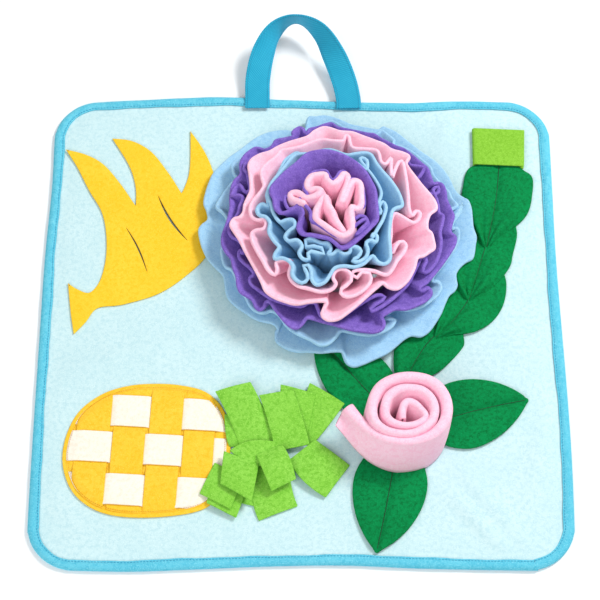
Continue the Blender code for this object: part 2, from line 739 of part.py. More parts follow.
def make_crown():
    """Felt flaps fanned round the crown's seam, each bowed up between its root and tip."""
    for number, row in enumerate(FLAPS, 1):
        along = heading_vector(row.heading)
        side = flat(-along.y, along.x)
        grid = []
        pieces = 5
        for k in range(pieces + 1):
            t = k / pieces
            from_root = row.root_z * (1 - t) * (1 - 2 * t)
            from_middle = 4 * row.middle_z * t * (1 - t)
            from_tip = row.tip_z * t * (2 * t - 1)
            spine = flat(row.root_x, row.root_y, from_root + from_middle + from_tip) + along * row.length * t
            grid.append([spine + side * row.width * share for share in (-0.5, 0.0, 0.5)])
        add_sheet(f"crown_flap_{number:02d}", grid, FELT_THICK, "crown felt")


def make_tab():
    """A felt strip folded double, its fold on the left."""
    low = PANEL_THICK + GAP
    high = low + TAB_HEIGHT
    near_left, near_right, far_right, far_left = (flat(x, y) for x, y in TAB_CORNERS)
    bend = 0.5 * (TAB_HEIGHT - TAB_THICK)
    middle = low + 0.5 * TAB_HEIGHT
    fold_steps = 5
    grid = []
    for left, right in ((near_left, near_right), (far_left, far_right)):
        along = (right - left).normalized()
        width = (right - left).length
        row = [left + along * width + flat(0, 0, low + 0.5 * TAB_THICK)]
        for k in range(fold_steps + 1):
            angle = math.radians(-90 - 180 * k / fold_steps)
            turned = along * math.cos(angle) + flat(0, 0, math.sin(angle))
            row.append(left + along * bend + flat(0, 0, middle) + bend * turned)
        row.append(left + along * width + flat(0, 0, high - 0.5 * TAB_THICK))
        grid.append(row)
    add_sheet("garland_tab", grid, TAB_THICK, "tab felt")


def leaf_grid(stations, pieces, columns):
    """Points of a leaf: a crease runs down its middle, and each half is puffed up beside it."""
    last = len(stations) - 1
    rows = [station_at(stations, last * k / pieces) for k in range(pieces + 1)]
    spine = [flat(row.x, row.y, row.z) for row in rows]
    grid = []
    for index, (row, middle) in enumerate(zip(rows, spine)):
        along = spine[min(index + 1, pieces)] - spine[max(index - 1, 0)]
        side = flat(-along.y, along.x).normalized()
        line = []
        for k in range(columns):
            v = 2 * k / (columns - 1) - 1
            reach = max(row.left_half if v > 0 else row.right_half, 1.0)
            line.append(middle + side * v * reach + flat(0, 0, row.puff * math.sin(math.pi * abs(v))))
        grid.append(line)
    return grid


def make_garland():
    for number, stations in enumerate(GARLAND, 1):
        grid = leaf_grid(stations, LEAF_PIECES, LEAF_LINES)
        add_sheet(f"garland_leaf_{number}", grid, LEAF_THICK, "leaf felt")


def rose_leaf_stations(row):
    base, tip = flat(row.base_x, row.base_y), flat(row.tip_x, row.tip_y)
    along = (tip - base).normalized()
    side = flat(-along.y, along.x)
    stations = []
    for share, width in ROSE_LEAF_PROFILE:
        point = base.lerp(tip, share) + side * row.bend * math.sin(math.pi * share)
        rise = row.puff * math.sin(math.pi * max(0.0, share - 0.2) / 0.8)
        halves = (row.left_half * width, row.right_half * width)
        stations.append((point.x, point.y, *halves, PANEL_THICK + GAP + 0.5 * LEAF_THICK, rise))
    return table(LEAF_COLUMNS, stations)


def make_rose_leaves():
    for row in ROSE_LEAVES:
        grid = leaf_grid(rose_leaf_stations(row), LEAF_PIECES, LEAF_LINES)
        add_sheet(row.name, grid, LEAF_THICK, "leaf felt")


# ---- The rose

def rose_section(degrees, row):
    """The folded strip's section: two layers a little apart, joined by a round fold at the rim."""
    out = heading_vector(degrees)
    foot = flat(*ROSE_FOOT_CENTRE, row.foot_z) + out * row.foot_radius
    half = 0.5 * row.wall
    top = flat(*ROSE_RIM_CENTRE, row.rim_z - half) + out * row.rim_radius
    layers = []
    for reach in (half, half - ROSE_THICK):
        fold = []
        for k in range(ROSE_FOLD_STEPS + 1):
            angle = math.pi * k / ROSE_FOLD_STEPS
            fold.append(top + out * reach * math.cos(angle) + flat(0, 0, reach * math.sin(angle)))
        waist = foot.lerp(top, 0.45)
        outer_side = [foot + out * reach, waist + out * (reach + ROSE_BULGE)]
        inner_side = [waist - out * reach, foot - out * reach]
        layers.append(outer_side + fold + inner_side)
    return layers[0] + layers[1][::-1]


def make_rose():
    first, last = ROSE_SECTIONS[0].degrees, ROSE_SECTIONS[-1].degrees
    pieces = round((last - first) / 360 * ROSE_STEPS_PER_TURN)
    sections = []
    for k in range(pieces + 1):
        degrees = first + (last - first) * k / pieces
        index = max(i for i, row in enumerate(ROSE_SECTIONS[:-1]) if row.degrees <= degrees)
        step = ROSE_SECTIONS[index + 1].degrees - ROSE_SECTIONS[index].degrees
        row = station_at(ROSE_SECTIONS, index + (degrees - ROSE_SECTIONS[index].degrees) / step)
        sections.append(rose_section(degrees, row))
    add_sweep("rose", sections, "ruffle pink")


# ---- The flower

def ruffle_grid(lips, roots, stand):
    """A sheet that rises from its sewn root, stands up and then flares out to its lip."""
    grid = []
    for lip, root in zip(lips, roots):
        control = root.lerp(lip, stand)
        control.z = lip.z
        row = []
        for t in RUFFLE_LEVELS:
            row.append(root * (1 - t) ** 2 + control * 2 * t * (1 - t) + lip * t * t)
        grid.append(row)
    return grid


def make_ring(name, shape, folds, colour_name):
    """A closed ruffle: its lip swings between crests and valleys, and its root is a circle."""
    centre = flat(shape.centre_x, shape.centre_y, shape.lip_z)
    marks = []
    for fold in folds:
        marks.append(centre + heading_vector(fold.crest) * fold.crest_reach)
        marks.append(centre + heading_vector(fold.valley) * fold.valley_reach + flat(0, 0, shape.swell))
    lips = smooth_loop(marks, LIP_STEP)
    centre = flat(shape.root_x, shape.root_y)
    roots = []
    for lip in lips:
        away = flat(lip.x, lip.y) - centre
        roots.append(centre + away.normalized() * shape.root_radius + flat(0, 0, RUFFLE_ROOT_Z))
    add_sheet(name, ruffle_grid(lips, roots, shape.stand), RUFFLE_THICK, colour_name, wrap_rows=True)


def heart_lips(rows, height):
    return [flat(*HEART_CENTRE, height) + flat(x, y) for x, y in rows]


def heart_roots(lips):
    """The upright walls draw in a little towards the heart's foot."""
    centre = flat(*HEART_CENTRE)
    roots = []
    for lip in lips:
        level = flat(lip.x, lip.y)
        roots.append(centre.lerp(level, HEART_ROOT_SCALE) + flat(0, 0, RUFFLE_ROOT_Z))
    return roots


def make_flower():
    for name, (shape, folds) in RUFFLES.items():
        make_ring(name, shape, folds, "ruffle " + name.split("_")[1])
    collar = smooth_loop(heart_lips(COLLAR_LIP, COLLAR_LIP_Z), LIP_STEP)
    grid = ruffle_grid(collar, heart_roots(collar), HEART_STAND)
    add_sheet("ruffle_purple_collar", grid, RUFFLE_THICK, "ruffle purple", wrap_rows=True)
    centre = smooth_path(heart_lips(CENTRE_LIP + BUD_LIP, CENTRE_LIP_Z), 8.0)
    grid = ruffle_grid(centre, heart_roots(centre), HEART_STAND)
    add_sheet("ruffle_pink_centre", grid, RUFFLE_THICK, "ruffle pink")


def main():
    clear_scene()
    make_panel()
    make_binding()
    make_handle()
    make_banana()
    make_pineapple()
    make_crown()
    make_tab()
    make_garland()
    make_rose_leaves()
    make_rose()
    make_flower()


main()
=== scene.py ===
import math

import bpy
import numpy as np
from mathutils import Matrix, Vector, geometry


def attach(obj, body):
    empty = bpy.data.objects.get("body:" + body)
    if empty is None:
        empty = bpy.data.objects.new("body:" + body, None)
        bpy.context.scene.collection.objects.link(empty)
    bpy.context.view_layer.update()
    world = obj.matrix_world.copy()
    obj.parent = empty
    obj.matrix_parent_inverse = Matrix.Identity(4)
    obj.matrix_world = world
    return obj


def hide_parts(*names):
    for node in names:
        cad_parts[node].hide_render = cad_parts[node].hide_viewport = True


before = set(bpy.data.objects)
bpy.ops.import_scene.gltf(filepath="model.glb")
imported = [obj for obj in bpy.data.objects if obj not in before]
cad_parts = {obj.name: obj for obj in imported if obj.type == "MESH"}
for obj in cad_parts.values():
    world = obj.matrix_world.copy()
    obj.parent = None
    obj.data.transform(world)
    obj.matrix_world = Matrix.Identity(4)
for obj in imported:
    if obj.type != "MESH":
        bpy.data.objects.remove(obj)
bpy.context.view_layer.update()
print("snuffle mat: frame loaded with", len(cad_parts), "pieces")

mm = 0.001  # every table below is in millimetres
gap = 0.3  # between sewn layers
upward = np.array((0, 0, 1.0))
# the photo's camera, in metres and degrees, and the width of the photo's frame
view = {
    "lens": 140.8, "sensor": 36.0, "distance": 2.272, "elevation": 62.6, "aim": (0.0, 0.0264, 0.0),
    "frame": 600, "frame centre": 300,
}
tilt = math.radians(view["elevation"])
rise, ahead = math.sin(tilt), math.cos(tilt)
focal = view["frame"] * view["lens"] / view["sensor"]
eye = np.array(view["aim"]) + np.array((0, -ahead, rise)) * view["distance"]


# Places picked in the photo's frame, 600 wide and 600 high, from its top left corner

def underPicture(picks, heights):  # the places in millimetres, at given heights, that show at these points
    right, up = (picks[:, 0] - view["frame centre"]) / focal, (view["frame centre"] - picks[:, 1]) / focal
    ray = np.stack((right, ahead + up * rise, up * ahead - rise), 1)
    reach = (heights * mm - eye[2]) / ray[:, 2]
    return np.column_stack(((eye[:2] + ray[:, :2] * reach[:, None]) / mm, heights))


def picturePlace(points):  # where these places show in the photo's frame
    away = points * mm - eye
    depth = away[:, 1] * ahead - away[:, 2] * rise
    up = away[:, 1] * rise + away[:, 2] * ahead
    return view["frame centre"] + focal * np.column_stack((away[:, 0], -up)) / depth[:, None]


# Paths and rows

def easedBetween(a, b, c, d, t):  # from b to c, with a before and d after them
    bend = (2 * a - 5 * b + 4 * c - d) * t ** 2 + (3 * b - a - 3 * c + d) * t ** 3
    return 0.5 * (2 * b + (c - a) * t + bend)


def spansOf(points, axis=0):
    return np.linalg.norm(np.diff(points, axis=axis), axis=-1)


def splineThrough(points, closed=False, perSpan=12):
    pts = np.asarray(points, float)
    count = len(pts)
    shares = np.arange(perSpan)[:, None] / perSpan
    curve = []
    for i in range(count if closed else count - 1):
        around = [(i + k) % count if closed else min(max(i + k, 0), count - 1) for k in (-1, 0, 1, 2)]
        curve.append(easedBetween(*pts[around], shares))
    if not closed:
        curve.append(pts[-1:])
    return np.concatenate(curve)


def evenly(path, step, closed=False):  # the same path, with a point about every step
    pts = np.asarray(path, float)
    if closed:
        pts = np.vstack((pts, pts[:1]))
    along = np.concatenate(((0.0,), np.cumsum(spansOf(pts[:, :3]))))
    places = np.linspace(0, along[-1], max(3, round(along[-1] / step)) + 1)
    even = np.column_stack([np.interp(places, along, column) for column in pts.T])
    return even[:-1] if closed else even


def smoothCurve(points, step, closed=False):
    return evenly(splineThrough(points, closed), step, closed)


def rowsBetween(rows, places):  # smooth rows of a table at fractional places
    table = np.asarray(rows, float)
    last = len(table) - 1
    index = np.clip(np.floor(places).astype(int), 0, last - 1)
    t = (np.asarray(places) - index)[:, None]
    return easedBetween(*(table[np.clip(index + k, 0, last)] for k in (-1, 0, 1, 2)), t)


def unit(vectors):
    return vectors / np.maximum(np.linalg.norm(vectors, axis=-1, keepdims=True), 1e-9)


def leftOf(path, closed=False):  # level directions to the left of a path
    ahead = np.roll(path, -1, 0) - np.roll(path, 1, 0) if closed else np.gradient(path, axis=0)
    return unit(np.stack((-ahead[:, 1], ahead[:, 0]), 1))


def heading(degrees):
    angle = np.radians(degrees)
    return np.stack((np.cos(angle), np.sin(angle)), -1)


def smoothStep(low, high, value):
    t = np.clip((value - low) / (high - low), 0, 1)
    return t * t * (3 - 2 * t)


# Meshes: points in millimetres, faces as arrays of corners

def meshFrom(name, points, faces, uvs=None):
    pts = np.asarray(points, float)
    volume = 0.0
    for part in faces:
        for k in range(1, part.shape[1] - 1):
            a, b, c = pts[part[:, 0]], pts[part[:, k]], pts[part[:, k + 1]]
            volume += np.einsum("ij,ij->", a, np.cross(b, c))
    turn = -1 if volume < 0 else 1  # faces point outwards
    corners = np.concatenate([part[:, ::turn].ravel() for part in faces])
    sizes = np.concatenate([np.full(len(part), part.shape[1]) for part in faces])
    mesh = bpy.data.meshes.new(name)
    mesh.vertices.add(len(pts))
    mesh.vertices.foreach_set("co", (pts * mm).ravel())
    mesh.loops.add(len(corners))
    mesh.loops.foreach_set("vertex_index", corners)
    mesh.polygons.add(len(sizes))
    mesh.polygons.foreach_set("loop_start", np.concatenate(((0,), np.cumsum(sizes)[:-1])))
    mesh.update(calc_edges=True)
    if uvs is not None:
        layer = mesh.uv_layers.new(name="cloth")
        flatUv = np.concatenate([part[:, ::turn].reshape(-1, 2) for part in uvs])
        layer.data.foreach_set("uv", flatUv.ravel() * mm)
    mesh.validate()
    mesh.shade_smooth()
    return mesh


def ringsToMesh(name, rings, closedPath, mirror=None, first=0, uvs=None):
    # rings of points swept along a path; an open path ends in caps between mirrored points
    count, size = rings.shape[:2]
    index = np.arange(count * size).reshape(count, size)
    ahead = np.roll(index, -1, 0) if closedPath else index[1:]
    here = index if closedPath else index[:-1]
    quads = np.stack((here, np.roll(here, -1, 1), np.roll(ahead, -1, 1), ahead), -1).reshape(-1, 4)
    faces = [quads]
    if not closedPath:
        p = (first + np.arange(size // 2 - 1)) % size
        q = (p + 1) % size
        cap = np.stack((p, (mirror - p) % size, (mirror - q) % size, q), -1)
        faces += [index[0][cap], index[-1][cap[:, ::-1]]]
    uvFaces = None
    if uvs is not None:
        flatUv = uvs.reshape(-1, 2)
        uvFaces = [flatUv[part] for part in faces]
    return meshFrom(name, rings.reshape(-1, 3), faces, uvFaces)


def sheetMesh(name, middle, thick, closed=False, rim=4, withUv=False):
    # a closed cloth sheet round a grid of middle points, its cut edges rounded
    rows, columns = middle.shape[:2]
    if closed:
        byRow = np.roll(middle, -1, 0) - np.roll(middle, 1, 0)
    else:
        byRow = np.gradient(middle, axis=0)
    byColumn = np.gradient(middle, axis=1)
    normal = unit(np.cross(byRow, byColumn))
    half = np.broadcast_to(0.5 * np.asarray(thick, float), (rows, columns))[..., None]
    angles = math.pi * np.arange(1, rim + 1) / (rim + 1)
    turned = np.cos(angles)[None, :, None], np.sin(angles)[None, :, None]

    def section(mid, nor, thin, lipOut, rootOut):
        lip = mid[:, -1:] + thin[:, -1:] * (nor[:, -1:] * turned[0] + lipOut[:, None] * turned[1])
        root = mid[:, :1] + thin[:, :1] * (-nor[:, :1] * turned[0] + rootOut[:, None] * turned[1])
        return np.concatenate((mid + nor * thin, lip, (mid - nor * thin)[:, ::-1], root), 1)

    lipOut = unit(middle[:, -1] - middle[:, -2])
    rootOut = unit(middle[:, 0] - middle[:, 1])
    rings = section(middle, normal, half, lipOut, rootOut)
    if not closed:
        endAngles = (0.45, 0.95, 1.35)
        ends = []
        for row, inner in ((0, 1), (-1, -2)):
            outward = unit(middle[row] - middle[inner])[None]
            for angle in endAngles:
                mid = middle[row][None] + outward * half[row][None] * math.sin(angle)
                thin = half[row][None] * math.cos(angle)
                ends.append(section(mid, normal[row][None], thin, lipOut[row][None], rootOut[row][None]))
        rings = np.concatenate(ends[2::-1] + [rings] + ends[3:])
    uvs = None
    if withUv:
        u = np.concatenate(((0.0,), np.cumsum(spansOf(middle.mean(1)))))
        if not closed:
            u = np.concatenate((u[:1].repeat(3), u, u[-1:].repeat(3)))
        v = np.concatenate(((0.0,), np.cumsum(spansOf(middle[rows // 2]))))
        v = np.concatenate((v, v[-1:].repeat(rim), v[::-1], v[:1].repeat(rim)))
        uvs = np.stack(np.broadcast_arrays(u[:, None], v[None]), -1)
    return ringsToMesh(name, rings, closed, 2 * columns + rim - 1, -rim // 2, uvs)


def insideLoop(points, loop):
    x, y = points[:, :1], points[:, 1:2]
    ax, ay = loop[:, 0][None], loop[:, 1][None]
    bx, by = np.roll(loop[:, 0], -1)[None], np.roll(loop[:, 1], -1)[None]
    crosses = (ay > y) != (by > y)
    with np.errstate(divide="ignore", invalid="ignore"):
        meets = ax + (y - ay) * (bx - ax) / (by - ay)
    return (crosses & (x < meets)).sum(1) % 2 == 1


def distanceTo(points, path):
    gaps = points[:, None, :2] - path[None, :, :2]
    return np.sqrt((gaps ** 2).sum(2).min(1))


def cutMesh(name, outline, slits, heightAt, thick, spacing, rim=5):
    # a flat cut piece that lies on what is under it: a fine net inside its outline, and rounded cut edges
    half = 0.5 * thick
    loops = [outline] + list(slits)
    inner = []
    for k, loop in enumerate(loops):
        side = leftOf(loop, True)
        towards = side if insideLoop(loop[:1] + side[:1] * 0.2, loop)[0] == (k == 0) else -side
        inner.append((loop, towards))
    borders = [loop + towards * half for loop, towards in inner]
    low, high = outline.min(0), outline.max(0)
    rowSpacing, rowShift = 0.87 * spacing, 0.5 * spacing  # the net's points lie in triangles
    rimClear, slitClear = 0.5 * spacing, 0.45 * spacing
    xs = np.arange(low[0], high[0], spacing)
    ys = np.arange(low[1], high[1], rowSpacing)
    net = np.array([(x + (row % 2) * rowShift, y) for row, y in enumerate(ys) for x in xs])
    keep = insideLoop(net, borders[0]) & (distanceTo(net, borders[0]) > rimClear)
    for border in borders[1:]:
        keep &= ~insideLoop(net, border) & (distanceTo(net, border) > slitClear)
    plan = np.concatenate(borders + [net[keep]])
    edges, start = [], 0
    for border in borders:
        count = len(border)
        edges += [(start + k, start + (k + 1) % count) for k in range(count)]
        start += count
    found = geometry.delaunay_2d_cdt([Vector(p) for p in plan], edges, [], 0, 1e-5)
    back = np.array([origins[0] if origins else -1 for origins in found[3]])
    triangles = back[np.array([f for f in found[2] if len(f) == 3])]
    centres = plan[triangles].mean(1)
    real = insideLoop(centres, borders[0])
    for border in borders[1:]:
        real &= ~insideLoop(centres, border)
    triangles = triangles[real & (triangles >= 0).all(1)]
    flatHeight = heightAt(plan)
    top = np.column_stack((plan, flatHeight + thick))
    under = np.column_stack((plan, flatHeight))
    points, faces = [top, under], [triangles, triangles[:, ::-1] + len(plan)]
    used, start = 2 * len(plan), 0
    angles = math.pi * np.arange(1, rim + 1) / (rim + 1)
    for loop, towards in inner:
        count = len(loop)
        middle = heightAt(loop) + half
        rings = [start + np.arange(count)]
        for angle in angles:
            reach = loop + towards * half * (1 - math.sin(angle))
            points.append(np.column_stack((reach, middle + half * math.cos(angle))))
            rings.append(used + np.arange(count))
            used += count
        rings.append(len(plan) + start + np.arange(count))
        for a, b in zip(rings, rings[1:]):
            strip = np.stack((a, b, np.roll(b, -1), np.roll(a, -1)), -1)
            faces.append(strip)
        start += count
    # side strips run with the loop, so each is turned to agree with the top
    first = plan[faces[0][0]]
    (ax, ay), (bx, by) = first[1:] - first[0]
    if ax * by < ay * bx:
        faces[:2] = [part[:, ::-1] for part in faces[:2]]
    for k, loop in enumerate(loops):
        ahead = np.roll(loop, -1, 0)
        signed = (loop[:, 0] * ahead[:, 1] - ahead[:, 0] * loop[:, 1]).sum()
        if (signed < 0) == (k == 0):
            own = slice(2 + k * (rim + 1), 2 + (k + 1) * (rim + 1))
            faces[own] = [part[:, ::-1] for part in faces[own]]
    return meshFrom(name, np.concatenate(points), faces)


# Cloth finishes

def tint(red, green, blue):  # a colour as it looks in daylight, 0 to 255
    shares = np.array((red, green, blue)) / 255
    linear = np.where(shares > 0.04, ((shares + 0.055) / 1.055) ** 2.4, shares / 12.92)
    return linear.tolist() + [1.0]


def wire(tree, start, end):
    tree.links.new(start, end)


def addNode(tree, kind, values=(), **settings):
    node = tree.nodes.new(kind)
    for key, value in settings.items():
        setattr(node, key, value)
    for key, value in dict(values).items():
        node.inputs[key].default_value = value
    return node


def mixColours(tree, factor, first, second):
    mix = addNode(tree, "ShaderNodeMix", data_type="RGBA")
    wire(tree, factor, mix.inputs[0])
    for socket, value in ((mix.inputs[6], first), (mix.inputs[7], second)):
        if isinstance(value, (list, tuple)):
            socket.default_value = value
        else:
            wire(tree, value, socket)
    return mix.outputs[2]


def spread(tree, value, low, high):  # stretches a narrow range of noise to the full one
    ranged = addNode(tree, "ShaderNodeMapRange", {1: low, 2: high}, interpolation_type="SMOOTHSTEP")
    wire(tree, value, ranged.inputs[0])
    return ranged.outputs[0]


def noiseOn(tree, place, scale, detail, roughness=0.5):
    noise = addNode(tree, "ShaderNodeTexNoise", {"Scale": scale, "Detail": detail, "Roughness": roughness})
    wire(tree, place, noise.inputs["Vector"])
    return noise.outputs[0]


def bumpFrom(tree, height, strength, distance):
    bump = addNode(tree, "ShaderNodeBump", {"Strength": strength, "Distance": distance * mm})
    wire(tree, height, bump.inputs["Height"])
    return bump


def newMaterial(name, **values):
    material = bpy.data.materials.new(name)
    material.use_nodes = True
    shader = material.node_tree.nodes["Principled BSDF"]
    for key, value in values.items():
        shader.inputs[key].default_value = value
    return material, material.node_tree, shader


# how many octaves each size of noise has, and the part of its range that is stretched to the full one
noiseKinds = {"patch": (2, 0.3, 0.7), "mottle": (3, 0.34, 0.6), "fibre": (2, 0.5, 0.72)}


def clothMaterial(name, look):
    material, tree, shader = newMaterial(name, **{
        "Roughness": look["roughness"], "Specular IOR Level": 0.15,
        "Sheen Weight": look["sheen"], "Sheen Roughness": 0.5, "Sheen Tint": look["nap"],
    })
    place = addNode(tree, "ShaderNodeTexCoord").outputs["Object"]
    noises, shares = {}, {}
    for kind, (detail, low, high) in noiseKinds.items():
        noises[kind] = noiseOn(tree, place, 1 / (look[kind] * mm), detail, 0.6)
        shares[kind] = spread(tree, noises[kind], low, high)
    patch = mixColours(tree, shares["patch"], look["colour"], look["patchColour"])
    mottled = mixColours(tree, shares["mottle"], look["shade"], patch)
    colour = mixColours(tree, shares["fibre"], mottled, look["nap"])
    wire(tree, colour, shader.inputs["Base Color"])
    coarse = bumpFrom(tree, noises["mottle"], look["lump"], look["mottle"] * 0.25)
    fine = bumpFrom(tree, noises["fibre"], look["fuzz"], look["fibre"] * 0.3)
    wire(tree, coarse.outputs[0], fine.inputs["Normal"])
    wire(tree, fine.outputs[0], shader.inputs["Normal"])
    return material


# sizes of patches, mottling and fibres in millimetres, then how strongly they show
fleece = {
    "patch": 45, "mottle": 4.0, "fibre": 0.9, "lump": 0.12, "fuzz": 0.45, "roughness": 0.95, "sheen": 0.3,
}
felt = {
    "patch": 30, "mottle": 3.4, "fibre": 0.8, "lump": 0.18, "fuzz": 0.6, "roughness": 0.95, "sheen": 0.15,
}


def clothLook(kind, *tints):
    names = "colour", "patchColour", "shade", "nap"
    return dict(kind, **{name: tint(*values) for name, values in zip(names, tints)})


looks = {
    "panel_fleece": clothLook(fleece, (203, 231, 234), (196, 227, 231), (186, 220, 226), (214, 238, 240)),
    "binding_fleece": clothLook(fleece, (104, 200, 222), (92, 192, 217), (80, 184, 211), (136, 216, 233)),
    "banana_felt": clothLook(felt, (250, 206, 56), (249, 200, 44), (245, 193, 36), (253, 217, 80)),
    "yellow_felt": clothLook(felt, (250, 202, 60), (249, 197, 48), (244, 188, 40), (253, 213, 84)),
    "cream_fleece": clothLook(fleece, (247, 241, 226), (245, 238, 221), (239, 230, 211), (251, 247, 236)),
    "crown_felt": clothLook(felt, (140, 208, 78), (130, 200, 66), (112, 184, 52), (164, 224, 98)),
    "tab_felt": clothLook(felt, (136, 196, 60), (130, 190, 54), (120, 180, 46), (158, 212, 82)),
    "leaf_felt": clothLook(felt, (0, 128, 66), (0, 134, 70), (0, 108, 52), (8, 150, 84)),
    "blue_fleece": clothLook(fleece, (164, 208, 236), (158, 203, 233), (148, 194, 228), (186, 222, 242)),
    "purple_fleece": clothLook(fleece, (134, 106, 198), (128, 100, 192), (114, 88, 178), (156, 130, 214)),
    "pink_fleece": clothLook(fleece, (254, 205, 224), (254, 200, 220), (252, 190, 213), (255, 220, 234)),
}
materials = {slotName: clothMaterial(slotName.replace("_", " "), look) for slotName, look in looks.items()}

webbing = {
    "ribs": ((0.72, 1.9), (-0.86, 1.4)),  # turn and pitch of the diagonal ribs and of the yarns across them
    "waver": 0.4,
    "depth": 0.25,
    "colours": (tint(30, 176, 206), tint(46, 190, 218)),
    # painted shade: a darker blue for the weave's grooves, where shade falls between the ribs
    "painted_groove_shade": tint(18, 152, 188),
}


def webbingMaterial():
    material, tree, shader = newMaterial("webbing twill", **{
        "Roughness": 0.7, "Specular IOR Level": 0.3, "Sheen Weight": 0.15,
    })
    place = addNode(tree, "ShaderNodeUVMap", uv_map="cloth").outputs[0]
    waves = []
    for turn, pitch in webbing["ribs"]:
        mapping = addNode(tree, "ShaderNodeMapping", {"Rotation": (0, 0, turn)})
        wire(tree, place, mapping.inputs[0])
        wavesPerMetre = 1 / (3.14 * pitch * mm)
        values = {"Scale": wavesPerMetre, "Distortion": webbing["waver"], "Detail": 1.0}
        wave = addNode(tree, "ShaderNodeTexWave", values)
        wire(tree, mapping.outputs[0], wave.inputs[0])
        waves.append(wave.outputs[1])
    both = addNode(tree, "ShaderNodeMath", operation="MULTIPLY")
    wire(tree, waves[0], both.inputs[0])
    wire(tree, waves[1], both.inputs[1])
    base = mixColours(tree, spread(tree, noiseOn(tree, place, 70.0, 3.0), 0.3, 0.7), *webbing["colours"])
    # painted shade: the weave's grooves are coloured darker
    colour = mixColours(tree, spread(tree, both.outputs[0], 0.0, 0.8), webbing["painted_groove_shade"], base)
    wire(tree, colour, shader.inputs["Base Color"])
    wire(tree, bumpFrom(tree, both.outputs[0], 0.6, webbing["depth"]).outputs[0], shader.inputs["Normal"])
    return material


def threadAndShadowMaterial(name, colour):
    material, tree, shader = newMaterial(name, Roughness=0.6)
    noise = noiseOn(tree, addNode(tree, "ShaderNodeTexCoord").outputs["Object"], 900.0, 2.0)
    darker = [0.7 * c for c in colour[:3]] + [1.0]
    wire(tree, mixColours(tree, noise, darker, colour), shader.inputs["Base Color"])
    return material


materials["webbing"] = webbingMaterial()
print("cloth finishes:", len(materials))


def linked(name, data):
    thing = bpy.data.objects.new(name, data)
    bpy.context.scene.collection.objects.link(thing)
    return thing


def addPiece(name, mesh, slotName, nodes=()):
    mesh.materials.append(materials[slotName])
    piece = linked(name, mesh)
    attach(piece, "root")
    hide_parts(*nodes)


# Sewing: each piece adds its seam lines here, and the stitches are laid along them at the end; the banana's
# slit lines get dark beads instead, which are painted shadow

threadRise = 0.05  # of a stitch's middle line over the cloth
seamAndShadowLines = {"binding": [], "pineapple": [], "handle": [], "leaf": [], "slit": []}
threadsAndSlitShadows = {  # pitch, length, width, then the colour of the thread (for the slits, of the painted shadow), and a slot name that nothing reads
    "binding": (3.0, 2.2, 0.8, tint(36, 148, 192), "binding_fleece"),
    "pineapple": (2.2, 1.8, 0.45, tint(226, 150, 24), "yellow_felt"),
    "handle": (2.6, 2.1, 0.5, tint(16, 132, 172), "webbing"),
    "leaf": (1.9, 2.2, 0.9, tint(0, 62, 32), "leaf_felt"),
    # the slit kind is painted shadow: dark olive beads laid down each banana slit, where the pocket's inside
    # is in shade
    "slit": (1.2, 1.6, 0.9, tint(70, 62, 34), "banana_felt"),
}


def stitchTree():
    tree = bpy.data.node_groups.new("beads along a line", "GeometryNodeTree")
    sockets = {}
    for name, kind in (("Geometry", "NodeSocketGeometry"), ("Pitch", "NodeSocketFloat"),
                       ("Stitch Size", "NodeSocketVector"), ("Thread", "NodeSocketMaterial")):
        sockets[name] = tree.interface.new_socket(name, in_out="INPUT", socket_type=kind).identifier
    tree.interface.new_socket("Geometry", in_out="OUTPUT", socket_type="NodeSocketGeometry")
    given, result = tree.nodes.new("NodeGroupInput"), tree.nodes.new("NodeGroupOutput")
    curve = tree.nodes.new("GeometryNodeMeshToCurve")
    dots = addNode(tree, "GeometryNodeCurveToPoints", mode="LENGTH")
    bead = addNode(tree, "GeometryNodeMeshUVSphere", {"Segments": 6, "Rings": 5, "Radius": 0.5})
    laid = tree.nodes.new("GeometryNodeInstanceOnPoints")
    real = tree.nodes.new("GeometryNodeRealizeInstances")
    finish = tree.nodes.new("GeometryNodeSetMaterial")
    for start, output, end, socket in (
        (given, "Geometry", curve, "Mesh"), (curve, 0, dots, "Curve"), (given, "Pitch", dots, "Length"),
        (dots, "Points", laid, "Points"), (dots, "Rotation", laid, "Rotation"),
        (bead, "Mesh", laid, "Instance"), (given, "Stitch Size", laid, "Scale"), (laid, 0, real, 0),
        (real, 0, finish, "Geometry"), (given, "Thread", finish, "Material"), (finish, 0, result, 0),
    ):
        wire(tree, start.outputs[output], end.inputs[socket])
    return tree, sockets


def makeStitchesAndSlitShadows():
    tree, sockets = stitchTree()
    # the slit lines' beads are painted shadow; the rest are real stitches
    for kind, (pitch, length, width, colour, slotName) in threadsAndSlitShadows.items():
        points, edges = [], []
        for line, closed in seamAndShadowLines[kind]:
            start, count = len(points), len(line)
            points += [tuple(p) for p in line * mm]
            edges += [(start + k, start + k + 1) for k in range(count - 1)]
            if closed:
                edges.append((start + count - 1, start))
        lines = bpy.data.meshes.new(kind + " seam")
        lines.from_pydata(points, edges, [])
        seam = linked(kind + " seam", lines)
        sewing = seam.modifiers.new("stitches", "NODES")
        sewing.node_group = tree
        sewing[sockets["Pitch"]] = pitch * mm
        sewing[sockets["Stitch Size"]] = (width * mm, width * mm, length * mm)
        sewing[sockets["Thread"]] = threadAndShadowMaterial(kind + " thread", colour)
        seam.update_tag()
        evaluated = seam.evaluated_get(bpy.context.evaluated_depsgraph_get())
        mesh = bpy.data.meshes.new_from_object(evaluated)
        bpy.data.objects.remove(seam)
        mesh.name = kind + "_stitches"
        mesh.shade_smooth()
        piece = linked(kind + "_stitches", mesh)
        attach(piece, "root")
        print(kind, "stitches:", len(mesh.polygons), "faces")


# The mat: corner arcs (centre x, centre y, radius, start angle) and the wavy sides between them

